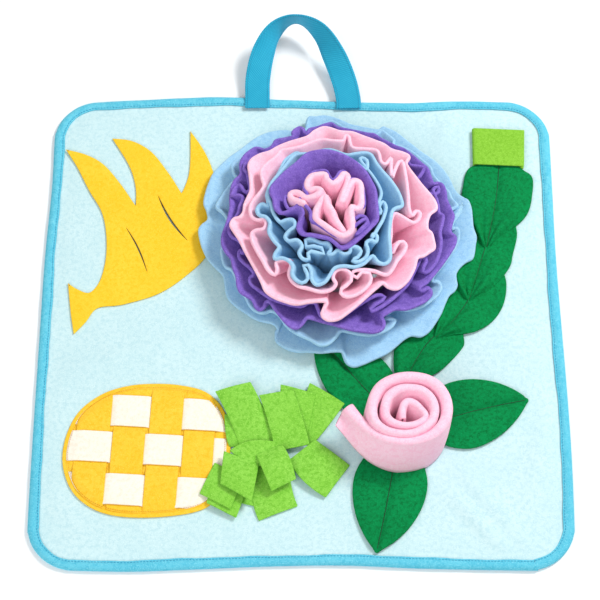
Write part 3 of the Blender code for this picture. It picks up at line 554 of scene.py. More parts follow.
mat = {
    "corners": ((-201, 205, 45, 180), (205, 205, 45, 90), (208, -208, 45, 0), (-206, -208, 45, -90)),
    "sides": (
        ((-150, 253), (-79, 256), (-2, 252), (103, 249), (155, 251)),
        ((250, 150), (250, 60), (253, -63), (254, -140)),
        ((110, -251), (40, -248), (-29, -249), (-99, -252), (-155, -254)),
        ((-251, -143), (-250, -23), (-249, 70), (-246, 150)),
    ),
    "thickness": 3.0,
    "edge step": 2.0,
    "edge lift": 1.5,  # the rim rises into the binding
    "edge tuck": 2.4,
    "face fade": (8.5, 25.5), "lift fade": (5.5, 11.0),  # distances in from the mat's edge
    "rim step": 3.4,
    "loops": 52,
    # swells: turns across and along, phase, height
    "swells": (
        (0.031, 0.012, 0.4, 0.25), (-0.013, 0.036, 2.1, 0.25), (0.057, -0.062, 4.0, 0.2),
        (0.16, 0.07, 1.0, 0.09), (0.06, -0.19, 2.6, 0.08),
    ),
    # soft folds: x1 y1 x2 y2 height halfWidth, and how steeply their ends run out
    "fold ends": (0.12, 0.76),
    "folds": (
        (136, -174, 190, -234, 3.2, 9), (152, -156, 208, -228, 2.8, 10), (236, -90, 214, -190, 2.8, 12),
        (-200, 132, -152, 121, 1.5, 6), (-148, 144, -107, 139, 1.3, 6),
        (-222, -50, -84, -14, 2.0, 14), (-226, -52, -196, -46, 1.2, 7), (-218, 230, -140, 236, 1.4, 7),
        (152, 234, 140, 204, 1.6, 8), (234, 146, 236, 60, 1.2, 6), (-226, -186, -196, -222, 1.6, 9),
    ),
}


def matSides(step):  # four paths clockwise from the middle of the top left corner
    arcs = []
    for x, y, radius, start in mat["corners"]:
        turn = start - 90 * np.arange(9) / 8
        arcs.append(np.array((x, y)) + radius * heading(turn))
    sides = []
    for k, points in enumerate(mat["sides"]):
        whole = np.vstack((arcs[k][4:], points, arcs[(k + 1) % 4][:5]))
        sides.append(evenly(splineThrough(whole), step))
    return sides


matEdge = np.concatenate([side[:-1] for side in matSides(mat["edge step"])])
matEdge = evenly(matEdge, mat["edge step"], True)


def matTop(points):  # height of the fleece's face
    x, y = points[..., 0], points[..., 1]
    height = np.zeros(x.shape)
    start, run = mat["fold ends"]
    for x1, y1, x2, y2, ridge, halfWidth in mat["folds"]:
        ax, ay = x2 - x1, y2 - y1
        share = np.clip(((x - x1) * ax + (y - y1) * ay) / (ax * ax + ay * ay), 0, 1)
        away = np.hypot(x - x1 - share * ax, y - y1 - share * ay)
        fold = ridge * np.exp(-(away / halfWidth) ** 2) * np.sin(math.pi * (start + run * share))
        height = np.maximum(height, fold)
    for wx, wy, phase, swing in mat["swells"]:
        height += swing * (1 + np.sin(x * wx + y * wy + phase))
    return mat["thickness"] + height


def overMat(plan, height, thick):  # a sheet's middle, held clear of the fleece below it
    return np.maximum(height, matTop(plan) + gap + 0.5 * thick)


def makePanel():  # loops of points from the rim to the middle
    rim = evenly(matEdge - leftOf(matEdge, True) * mat["edge tuck"], mat["rim step"], True)
    middle = rim.mean(0)
    share = 1 - np.arange(mat["loops"])[:, None, None] / mat["loops"]
    plan = np.concatenate(((middle + (rim - middle) * share).reshape(-1, 2), middle[None]))
    inFrom = distanceTo(plan, matEdge)
    top = mat["thickness"] + (matTop(plan) - mat["thickness"]) * smoothStep(*mat["face fade"], inFrom)
    under = mat["edge lift"] * (1 - smoothStep(*mat["lift fade"], inFrom))
    points = np.concatenate((np.column_stack((plan, top)), np.column_stack((plan, under))))
    count = len(plan)
    index = np.arange(count - 1).reshape(mat["loops"], len(rim))
    beside = np.roll(index, -1, 1)
    quads = np.stack((index[:-1], beside[:-1], beside[1:], index[1:]), -1).reshape(-1, 4)
    fan = np.stack((index[-1], beside[-1], np.full(len(rim), count - 1)), 1)
    side = np.stack((index[0], index[0] + count, beside[0] + count, beside[0]), 1)
    faces = [quads, fan, quads[:, ::-1] + count, fan[:, ::-1] + count, side]
    mesh = meshFrom("mat_panel_cloth", points, faces)
    addPiece("mat_panel_cloth", mesh, "panel_fleece", nodes=("mat_panel",))


# The binding: a folded strip of fleece round the edge; its section is (out from the mat's edge, height)

binding = {
    "outside": (
        (-10.0, 3.9), (-9.9, 4.5), (-9.2, 4.75), (-8.3, 4.5), (-7.3, 5.1), (-5.6, 5.7), (-3.6, 5.6),
        (-1.6, 4.8), (-0.3, 3.5), (0.0, 2.2), (-0.5, 0.8), (-1.8, 0.0), (-6.0, 0.0), (-10.0, 0.0),
    ),
    "inside": ((-10.0, 1.2), (-5.0, 1.2), (-2.0, 1.2), (-1.7, 2.2), (-2.0, 3.4), (-5.0, 3.4), (-10.0, 3.4)),
    "stitched point": 3,  # the stitches lie in the outside's dip
    "wander": ((0.5, 31, 0), (0.3, 12.7, 1), (0.2, 5.3, 2)),  # of the inner edge: swing, length, phase
    "inner share": (-5.0, -9.5), "top height": 3.0,
    "puff": 0.05, "puff share": (-9, -6), "puff length": 7.1, "puff drift": (0.5, 23),
}


def makeBinding():
    section = np.array(binding["outside"] + binding["inside"])
    inward = -leftOf(matEdge, True)
    run = np.arange(len(matEdge)) * mat["edge step"]
    wander = sum(swing * np.sin(run / size + phase) for swing, size, phase in binding["wander"])
    innerShare = smoothStep(*binding["inner share"], section[:, 0])
    topShare = (section[:, 1] > binding["top height"]) * 1.0
    out = section[None, :, 0] + wander[:, None] * innerShare * topShare
    drift, size = binding["puff drift"]
    swell = binding["puff"] * np.sin(run / binding["puff length"] + drift * np.sin(run / size))
    puffed = 1 + swell[:, None] * topShare * smoothStep(*binding["puff share"], section[:, 0])
    height = section[None, :, 1] * puffed
    rings = np.concatenate((matEdge[:, None] - inward[:, None] * out[..., None], height[..., None]), -1)
    seamAndShadowLines["binding"].append((rings[:, binding["stitched point"]] + 2 * threadRise * upward, True))
    mesh = ringsToMesh("edge_binding_cloth", rings, True)
    addPiece("edge_binding_cloth", mesh, "binding_fleece", nodes=("edge_binding",))


# The handle: centre line and how far its outer edge turns up (x y z degrees)

handle = {
    "width": 25.0,
    "thickness": 1.6,
    "stations": (
        (-43, 241.5, 6.9, 0), (-43, 253, 7.3, 0), (-42.5, 275, 10.5, 8), (-37, 300, 18, 32),
        (-25, 322, 25, 68), (-4, 334, 28, 103), (19, 321, 25, 68), (34, 297, 18, 32), (44, 273, 10.5, 8),
        (48.5, 253, 7.3, 0), (49, 241, 6.9, 0),
    ),
    "inside": (2, 241),
    "rows": 161,
    "columns": 15,
}


def makeHandle():
    rows = rowsBetween(handle["stations"], np.linspace(0, len(handle["stations"]) - 1, handle["rows"]))
    centre = rows[:, :3]
    ahead = unit(np.gradient(centre, axis=0))
    outward = unit(np.stack((-ahead[:, 1], ahead[:, 0], 0 * ahead[:, 0]), 1))
    facing = np.einsum("ij,ij->i", outward[:, :2], centre[:, :2] - np.array(handle["inside"]))
    outward[facing < 0] *= -1
    turn = np.radians(rows[:, 3:4])
    across = np.cos(turn) * outward + np.sin(turn) * upward
    reach = (handle["width"] - handle["thickness"]) * np.linspace(-0.5, 0.5, handle["columns"])
    middle = centre[:, None] + across[:, None] * reach[None, :, None]
    toFace = unit(np.cross(ahead, across)) * (0.5 * handle["thickness"] + threadRise)
    for face in (toFace, -toFace):
        seamAndShadowLines["handle"] += [(middle[:, column] + face, False) for column in (1, -2)]
    mesh = sheetMesh("handle_webbing", middle, handle["thickness"], withUv=True)
    addPiece("handle_webbing", mesh, "webbing", ("handle",))


# Felt pieces laid on the mat

def onMat(points):
    return matTop(points) + gap


banana = {
    "thickness": 1.6,
    "net": 4.0,
    "outline step": 1.8,
    "outline": (  # x y, with 1 where the felt is cut to a corner
        (-234, 193, 1), (-213, 187, 0), (-195, 175, 0), (-177, 152, 0), (-162, 128, 1), (-163, 150, 0),
        (-170, 174, 0), (-188, 206, 1), (-168, 203, 0), (-148, 190, 0), (-130, 165, 0), (-117, 142, 1),
        (-110, 168, 0), (-110, 215, 1), (-94, 188, 0), (-84, 155, 0), (-83, 105, 0), (-91, 73, 0),
        (-110, 51, 0), (-136, 31, 0), (-170, 19, 0), (-195, 15, 0), (-206, 0, 0), (-217, -13, 1),
        (-221, 10, 0), (-225, 42, 1), (-215, 35, 0), (-203, 32, 0), (-193, 48, 0), (-189, 80, 0),
        (-194, 117, 0), (-209, 146, 0), (-222, 173, 0),
    ),
    "slit thread": (1.1, 0.4),  # painted shadow: height of the dark beads in each pocket's slit, and how far off its middle
    "slit points": 25,
    "slits": ((-171, 104, -148.5, 54, 2.0, 1.4), (-140.5, 140, -110, 89, -3.0, 2.2)),  # ends, bow, opening
}


def cornered(rows, step):  # smooth between corners
    tips = [k for k, row in enumerate(rows) if row[2]]
    path = []
    for first, after in zip(tips, tips[1:] + [tips[0] + len(rows)]):
        stretch = [rows[k % len(rows)][:2] for k in range(first, after + 1)]
        path.append(evenly(splineThrough(stretch), step)[:-1])
    return np.concatenate(path)


def sideOf(start, end):  # the level direction to the left of a line
    return unit(end - start)[::-1] * np.array((-1, 1))


def makeBanana():
    outline = cornered(banana["outline"], banana["outline step"])
    shadowLineHeight, shadowLineSide = banana["slit thread"]
    slits = []
    for x1, y1, x2, y2, bow, opening in banana["slits"]:
        t = np.linspace(0, 1, banana["slit points"])[:, None]
        start, end = np.array((x1, y1)), np.array((x2, y2))
        side = sideOf(start, end)
        line = start + (end - start) * t + side * bow * np.sin(math.pi * t)
        gape = side * 0.5 * opening * np.sin(math.pi * t)
        slits.append(np.concatenate((line + gape, (line - gape)[-2:0:-1])))
        # painted shadow: a dark line of beads down each slit, where the pocket's inside is in shade
        low = line[1:-1] + shadowLineSide * gape[1:-1]
        seamAndShadowLines["slit"].append((np.column_stack((low, matTop(low) + shadowLineHeight)), False))
    mesh = cutMesh("banana_felt_cut", outline, slits, onMat, banana["thickness"], banana["net"])
    addPiece("banana_felt_cut", mesh, "banana_felt", nodes=("banana",))


# The pineapple: a felt oval and its plain weave, in a slanted frame

pineapple = {
    "ground": (
        (-222, -140), (-218, -115), (-207, -93), (-186, -76), (-162, -68), (-137, -66), (-111, -68),
        (-90, -74), (-75, -88), (-67, -108), (-65, -134), (-68, -163), (-79, -186), (-98, -197),
        (-134, -202), (-166, -201), (-190, -194), (-208, -180), (-218, -162),
    ),
    "ground thickness": 1.6, "ground step": 2.0, "ground net": 5.0,
    "strip thickness": 1.3,
    "strip inset": 4.5, "seam inset": 5.1, "seam height": 3.5,
    "origin": (-145.0, -137.0), "across": (1.0, -0.06), "down": (0.05, 1.0),
    "low": 5.9, "high": 7.8, "slope": 3.6,
    "pressed": 5.8, "press reach": 11.0, "down strips over": 0.1,  # the strips' ends, held down by the seam
    "rows": 70, "columns": 13,
    "down strips": ((-50.0, 31.5), (-16.0, 30.5), (17.5, 30.5), (49.5, 29.0)),  # centre, width
    "across strips": ((41.0, 32.0), (3.0, 31.0), (-39.0, 31.0)),
}


def groundLoop(inset):
    loop = smoothCurve(pineapple["ground"], pineapple["ground step"], True)
    return loop - leftOf(loop, True) * inset


def reachInside(loop, point, along):
    side = np.array((-along[1], along[0]))
    after = np.roll(loop, -1, 0)
    a, b = (loop - point) @ side, (after - point) @ side
    hit = (a < 0) != (b < 0)
    share = (a[hit] / (a[hit] - b[hit]))[:, None]
    places = (loop[hit] + (after[hit] - loop[hit]) * share - point) @ along / (along @ along)
    return places.min(), places.max()


def stripHeights(places, crossings, firstHigh):  # over and under by turns
    centres = np.array([row[0] for row in crossings])
    widths = np.array([row[1] for row in crossings])
    order = np.argsort(centres)
    low, high, slope = pineapple["low"], pineapple["high"], pineapple["slope"]
    levels = np.array([high if (k % 2 == 0) == firstHigh else low for k in range(len(crossings))])[order]
    centres, widths = centres[order], widths[order]
    heights = np.full(places.shape, levels[0], float)
    for k in range(len(centres) - 1):
        change = 0.5 * (centres[k] + centres[k + 1]) + 0.25 * (widths[k] - widths[k + 1])
        heights += (levels[k + 1] - levels[k]) * smoothStep(change - slope, change + slope, places)
    return heights


def makePineapple():
    seam = groundLoop(pineapple["seam inset"])
    seamAndShadowLines["pineapple"].append((np.column_stack((seam, matTop(seam) + pineapple["seam height"])), True))
    name, thick, net = "pineapple_ground_cut", pineapple["ground thickness"], pineapple["ground net"]
    mesh = cutMesh(name, groundLoop(0.0), (), onMat, thick, net)
    addPiece(name, mesh, "yellow_felt", nodes=("pineapple_ground",))
    limit = groundLoop(pineapple["strip inset"])
    origin = np.array(pineapple["origin"])
    across, down = np.array(pineapple["across"]), np.array(pineapple["down"])
    downStrips, acrossStrips = pineapple["down strips"], pineapple["across strips"]
    kinds = (
        ("weave_down", downStrips, across, down, acrossStrips, 1, "yellow_felt"),
        ("weave_across", acrossStrips, down, across, downStrips, 0, "cream_fleece"),
    )
    thick = pineapple["strip thickness"]
    for kind, strips, sideways, along, crossings, parity, slotName in kinds:
        for number, (centre, width) in enumerate(strips, 1):
            columns = []
            for share in np.linspace(-0.5, 0.5, pineapple["columns"]):
                base = origin + sideways * (centre + share * (width - thick))
                low, high = reachInside(limit, base, along)
                places = np.linspace(low, high, pineapple["rows"])
                level = base + along * places[:, None]
                height = stripHeights(places, crossings, number % 2 == parity)
                fromEnd = np.minimum(places - low, high - places)
                pressed = pineapple["pressed"] + pineapple["down strips over"] * parity
                height = pressed + (height - pressed) * smoothStep(0, pineapple["press reach"], fromEnd)
                columns.append(np.column_stack((level, height)))
            middle = np.stack(columns, 1)
            name = f"{kind}_{number}"
            mesh = sheetMesh(name + "_strip", middle, thick)
            addPiece(name + "_strip", mesh, slotName, (name,))


# The crown: flaps from the lowest to the highest, each from its sewn root

crown = {
    "thickness": 1.6, "rows": 31, "columns": 21,
    "dome": 0.9, "dome start": 0.3, "ripple": 0.4, "ripple turns": (2.6, 5, 1.7),  # down, across, per flap
    # three places down each long edge, from root to tip, picked in the photo's frame; then their heights
    "flaps": (
        ((233.7, 472.0), (237.2, 488.4), (240.8, 502.7),
         (257.1, 474.1), (258.2, 490.4), (259.2, 507.2), (4.1, 4.6, 4.3)),
        ((248.0, 459.8), (252.6, 497.6), (259.4, 520.0),
         (286.7, 454.7), (290.3, 484.3), (296.7, 505.7), (5.6, 6.4, 5.2)),
        ((215.3, 477.1), (210.7, 490.4), (207.3, 502.7),
         (248.0, 485.3), (242.3, 499.6), (235.7, 516.9), (7, 8.2, 8)),
        ((215.0, 463.7), (207.7, 478.2), (200.5, 493.2),
         (243.9, 477.1), (237.2, 491.9), (230.1, 508.5), (8.6, 10.6, 10.2)),
        ((276.0, 442.7), (251.0, 441.4), (230.4, 450.8),
         (276.0, 454.7), (259.2, 465.4), (235.2, 455.2), (10.6, 12, 11)),
        ((224.5, 452.1), (222.7, 466.9), (220.9, 483.3),
         (258.0, 464.4), (255.1, 480.2), (251.0, 500.1), (12.8, 16, 14.4)),
        ((257.1, 455.2), (264.3, 472.0), (271.9, 490.4),
         (281.6, 445.7), (289.0, 457.8), (295.1, 478.7), (14.6, 18.4, 14)),
        ((315.3, 440.6), (332.7, 453.2), (348.7, 465.4),
         (289.8, 460.3), (303.1, 479.7), (325.5, 496.7), (10.5, 9.6, 6)),
        ((300.5, 427.1), (303.1, 406.7), (310.2, 383.8),
         (310.7, 445.0), (324.0, 430.2), (343.6, 403.7), (5.8, 8.2, 8)),
        ((280.6, 427.1), (280.6, 406.7), (281.4, 385.5),
         (306.6, 435.3), (310.7, 414.9), (315.0, 394.2), (7.4, 10.4, 10)),
        ((276.0, 450.6), (268.4, 421.0), (260.0, 396.0),
         (308.8, 443.9), (301.5, 416.9), (292.7, 390.4), (9.2, 13.4, 13)),
        ((230.6, 446.3), (226.7, 435.3), (225.3, 414.9),
         (244.9, 445.5), (242.9, 431.2), (240.8, 414.9), (5.6, 8, 8)),
        ((239.3, 444.3), (229.6, 418.0), (216.3, 391.9),
         (275.3, 443.5), (263.8, 410.8), (250.0, 382.6), (7.2, 11.6, 11.4)),
    ),
}


def makeCrown():
    thick = crown["thickness"]
    t = np.linspace(0, 1, crown["rows"])[:, None]
    v = np.linspace(0, 1, crown["columns"])[None, :]
    shares = np.concatenate(((1 - t) * (1 - 2 * t), 4 * t * (1 - t), t * (2 * t - 1)), 1)
    down, over, each = crown["ripple turns"]
    for number, (*picks, heights) in enumerate(crown["flaps"], 1):
        edges = underPicture(np.array(picks), np.tile(heights, 2)).reshape(2, 3, 3)
        left, right = shares @ edges[0], shares @ edges[1]
        middle = left[:, None] * (1 - v[..., None]) + right[:, None] * v[..., None]
        ripple = crown["ripple"] * np.sin(down * t + over * v + each * number) * t
        domed = crown["dome"] * 4 * v * (1 - v) * smoothStep(0, crown["dome start"], t)
        middle[..., 2] = overMat(middle[..., :2], middle[..., 2] + domed + ripple, thick)
        name = f"crown_flap_{number:02d}"
        mesh = sheetMesh(name + "_felt", middle, thick)
        addPiece(name + "_felt", mesh, "crown_felt", nodes=(name,))


# The folded tab at the garland's head: (near left, near right, far right, far left) corners

tab = {
    "corners": ((172.5, 174), (222.5, 171.5), (224.5, 212), (173, 214.5)), "height": 6.2, "thickness": 1.5,
    "rows": 25, "columns": 20, "fold steps": 12,
}


def makeTab():
    nearLeft, nearRight, farRight, farLeft = (np.array(p, float) for p in tab["corners"])
    low = matTop(0.5 * (nearLeft + farRight)) + gap
    thick = tab["thickness"]
    bend = 0.5 * (tab["height"] - thick)
    centreZ = low + 0.5 * tab["height"]
    rows = []
    for share in np.linspace(0, 1, tab["rows"]):
        left, right = nearLeft + (farLeft - nearLeft) * share, nearRight + (farRight - nearRight) * share
        along = unit(right - left)
        width = np.linalg.norm(right - left) - 0.5 * thick
        places = np.linspace(width, bend, tab["columns"])
        line = [(*(left + along * place), centreZ - bend) for place in places]
        for angle in np.radians(np.linspace(-90, -270, tab["fold steps"] + 1))[1:-1]:
            line.append((*(left + along * (bend + bend * math.cos(angle))), centreZ + bend * math.sin(angle)))
        line += [(*(left + along * place), centreZ + bend) for place in places[::-1]]
        rows.append(line)
    mesh = sheetMesh("garland_tab_felt", np.array(rows), thick)
    addPiece("garland_tab_felt", mesh, "tab_felt", nodes=("garland_tab",))


# Leaves: x y leftHalf rightHalf height puff at each station from the head to the tip

leaves = {
    "thickness": 2.0,
    "crease": (2.3, 2.8),  # depth and half width of the sewn middle line
    "plump": 1.45, "gather": 2.3, "gather turns": (9.5, 0.8),
    "gather start": (0.45, 0.95), "gather end": (0.96, 1.0),  # shares of the length
    "puff start": 0.2, "base height": 6.4,  # of the leaves round the rose
    "rows": 61, "columns": 37,
    "garland": (
        ((198, 184, 18, 17, 6.4, 0.0), (198, 174, 19, 18, 6.4, 0.1), (197, 165, 32, 30, 6.3, 0.6),
         (195, 146, 34, 33, 6.2, 2.0), (191, 122, 31, 31, 7.1, 2.0), (186, 99, 14, 17, 7.5, 1.4),
         (182, 80, 1.5, 1.5, 7.5, 0.0)),
        ((193, 119, 17, 26, 4.4, 0.0), (188, 104, 25, 35, 4.4, 0.3), (181, 82, 27, 26, 4.7, 0.8),
         (176, 65, 27, 32, 7.0, 1.8), (169, 42, 17, 24, 7.5, 1.6), (163, 23, 1.5, 1.5, 7.5, 0.0)),
        ((172, 57, 27, 25, 4.4, 0.0), (169, 46, 31, 37, 4.4, 0.3), (163, 25, 32, 34, 4.7, 0.9),
         (151, 6, 25, 24, 7.0, 1.8), (139, -8, 9, 10, 7.5, 1.2), (130, -17, 1.5, 1.5, 7.5, 0.0)),
        ((144, 0, 17, 29, 4.4, 0.0), (137, -7, 26, 37, 4.4, 0.3), (122, -23, 28, 32, 4.8, 1.4),
         (110, -42, 24, 22, 6.8, 2.0), (102, -60, 12, 12, 7.5, 1.0), (97, -75, 1.5, 1.5, 7.4, 0.0)),
    ),
    # the leaves round the rose: length share and width share down each
    "rose outline": (
        (0.0, 0.45), (0.12, 0.8), (0.3, 1.0), (0.5, 0.97), (0.7, 0.76), (0.87, 0.42), (1.0, 0.02),
    ),
    # then base x y, tip x y, leftHalf, rightHalf, bend, puff
    "rose": {
        "rose_leaf_right": (121, -108, 215, -83, 33, 35, 2, 2.2),
        "rose_leaf_front": (90, -133, 70, -236, 33, 33, 1, 2.2),
        "rose_leaf_back": (80, -94, 15, -14, 29, 31, 0, 2.0),
    },
}


def leafMiddle(stations, gather=0.0):
    rows = rowsBetween(stations, np.linspace(0, len(stations) - 1, leaves["rows"]))
    spine = rows[:, :2]
    side = leftOf(spine)
    v = np.linspace(-1, 1, leaves["columns"])[None, :]
    reach = np.where(v > 0, rows[:, 2:3], rows[:, 3:4]).clip(1.0)
    plan = spine[:, None] + side[:, None] * (v * reach)[..., None]
    height = rows[:, 4:5] + leaves["plump"] * rows[:, 5:6] * np.sin(math.pi * np.abs(v)) ** 0.8
    crease = np.exp(-(v * reach / leaves["crease"][1]) ** 2)
    share = np.linspace(0, 1, len(rows))[:, None]
    ends = gather * smoothStep(*leaves["gather start"], share)
    ends = ends * (1 - smoothStep(*leaves["gather end"], share))
    turns, phase = leaves["gather turns"]
    height = height - leaves["crease"][0] * crease + ends * (1 - crease) * np.cos(v * turns + phase)
    height = overMat(plan, height, leaves["thickness"])
    return np.concatenate((plan, height[..., None]), -1)


def addLeaf(name, middle, sewn):
    crease = middle[sewn, leaves["columns"] // 2]
    seamAndShadowLines["leaf"].append((crease + 0.5 * leaves["thickness"] * upward, False))
    mesh = sheetMesh(name + "_felt", middle, leaves["thickness"])
    addPiece(name + "_felt", mesh, "leaf_felt", nodes=(name,))


def makeLeaves():
    for number, stations in enumerate(leaves["garland"], 1):
        middle = leafMiddle(stations, leaves["gather"])
        addLeaf(f"garland_leaf_{number}", middle, slice(4, -2))
    start = leaves["puff start"]
    for name, (x1, y1, x2, y2, leftHalf, rightHalf, bend, puff) in leaves["rose"].items():
        base, tip = np.array((x1, y1)), np.array((x2, y2))
        stations = []
        for share, width in leaves["rose outline"]:
            point = base + (tip - base) * share + sideOf(base, tip) * bend * math.sin(math.pi * share)
            puffed = puff * math.sin(math.pi * max(0.0, share - start) / (1 - start))
            stations.append((*point, leftHalf * width, rightHalf * width, leaves["base height"], puffed))
        addLeaf(name, leafMiddle(stations), slice(2, -4))


# The rose: a folded strip, rolled up

rose = {
    "thickness": 2.4, "bulge": 0.8, "lean": (5.0, 11.0),  # of the rim against the foot
    "step": 1.7, "fold steps": 12, "wall steps": 8,
    # the folded rim from its loose end to the heart: x y picked in the photo's frame,
    # then the height of rim and foot, and the fold's width
    "ridge": (
        (347.2, 406.2, 43, 34, 15), (356.0, 415.9, 44, 29, 12.5), (365.9, 425.5, 45, 22, 10.8),
        (378.2, 433.8, 46, 15, 9.4), (391.9, 438.4, 47, 10, 9), (405.7, 440.2, 47.5, 7.5, 8.6),
        (419.5, 438.4, 48, 6.5, 8.8), (432.0, 433.2, 49, 6, 9.6), (440.9, 425.1, 50, 6, 10),
        (446.3, 415.1, 51, 6, 10.4), (447.5, 404.4, 52, 6, 10.6), (444.3, 392.9, 52.5, 6, 10.6),
        (436.6, 383.0, 53, 6, 10.6), (424.9, 376.8, 53, 6, 10.4), (408.8, 374.8, 53, 6, 10.4),
        (393.5, 377.3, 53, 6, 10.4), (381.2, 384.5, 52.5, 6, 10.8), (374.3, 395.5, 52, 6, 10.6),
        (372.3, 407.5, 51.5, 6, 9.6), (375.4, 419.4, 51, 6, 8.4), (385.1, 427.7, 50.5, 6, 7.4),
        (398.8, 431.6, 50.5, 6, 7.2), (412.6, 431.3, 50.5, 6, 7.4), (424.4, 426.1, 51, 6, 7.8),
        (432.5, 417.9, 51.5, 6, 8.2), (435.0, 407.5, 52, 6, 8.6), (431.4, 396.7, 52, 6, 8.8),
        (422.9, 389.1, 52, 6, 9), (411.8, 386.6, 52, 6, 9), (399.6, 387.6, 52, 6, 9.4),
        (389.6, 394.0, 51.5, 6, 9.6), (385.8, 403.6, 51, 6, 9), (386.1, 412.8, 50.5, 6, 7.6),
        (392.2, 420.0, 50.5, 6, 6.8), (402.7, 423.7, 50.5, 6, 6.6), (414.1, 423.1, 50.5, 6, 6.4),
        (422.9, 418.9, 50.5, 6, 6), (425.9, 413.9, 50, 6, 5.8), (421.3, 407.8, 49.5, 6, 6.4),
        (414.9, 402.1, 49.5, 6, 7.4), (408.0, 400.1, 49.5, 6, 7.8), (403.6, 404.4, 49.5, 6, 7.4),
        (402.7, 411.3, 49, 6, 6.8), (403.0, 417.9, 48.5, 6, 6.2),
    ),
}


def makeRose():
    picks = np.array(rose["ridge"], float)
    table = np.column_stack((underPicture(picks[:, :2], picks[:, 2]), picks[:, 3:]))
    rows = smoothCurve(table, rose["step"])
    plan = rows[:, :2]
    out = np.column_stack((-leftOf(plan), np.zeros(len(plan))))
    foot = np.column_stack((plan - np.array(rose["lean"]), rows[:, 3]))
    half = 0.5 * rows[:, 4:5]
    top = rows[:, :3] - upward * half
    layers = []
    for reach in (half, half - rose["thickness"]):
        walls = {1: [], -1: []}
        for t in np.linspace(0, 1, rose["wall steps"] + 1)[:-1]:
            bulging = out * (reach + rose["bulge"] * math.sin(math.pi * t))
            for side, wall in walls.items():
                wall.append(foot + (top - foot) * t + side * bulging)
        fold = [top + out * reach * math.cos(angle) + upward * reach * math.sin(angle)
                for angle in np.linspace(0, math.pi, rose["fold steps"] + 1)]
        layers.append(walls[1] + fold + walls[-1][::-1])
    rings = np.stack(layers[0] + layers[1][::-1], 1)
    mesh = ringsToMesh("rose_roll", rings, False, rings.shape[1] - 1, 0)
    addPiece("rose_roll", mesh, "pink_fleece", nodes=("rose",))


# The flower: strips gathered along a sewn line, whose one or two wings flare out to soft, folded lips

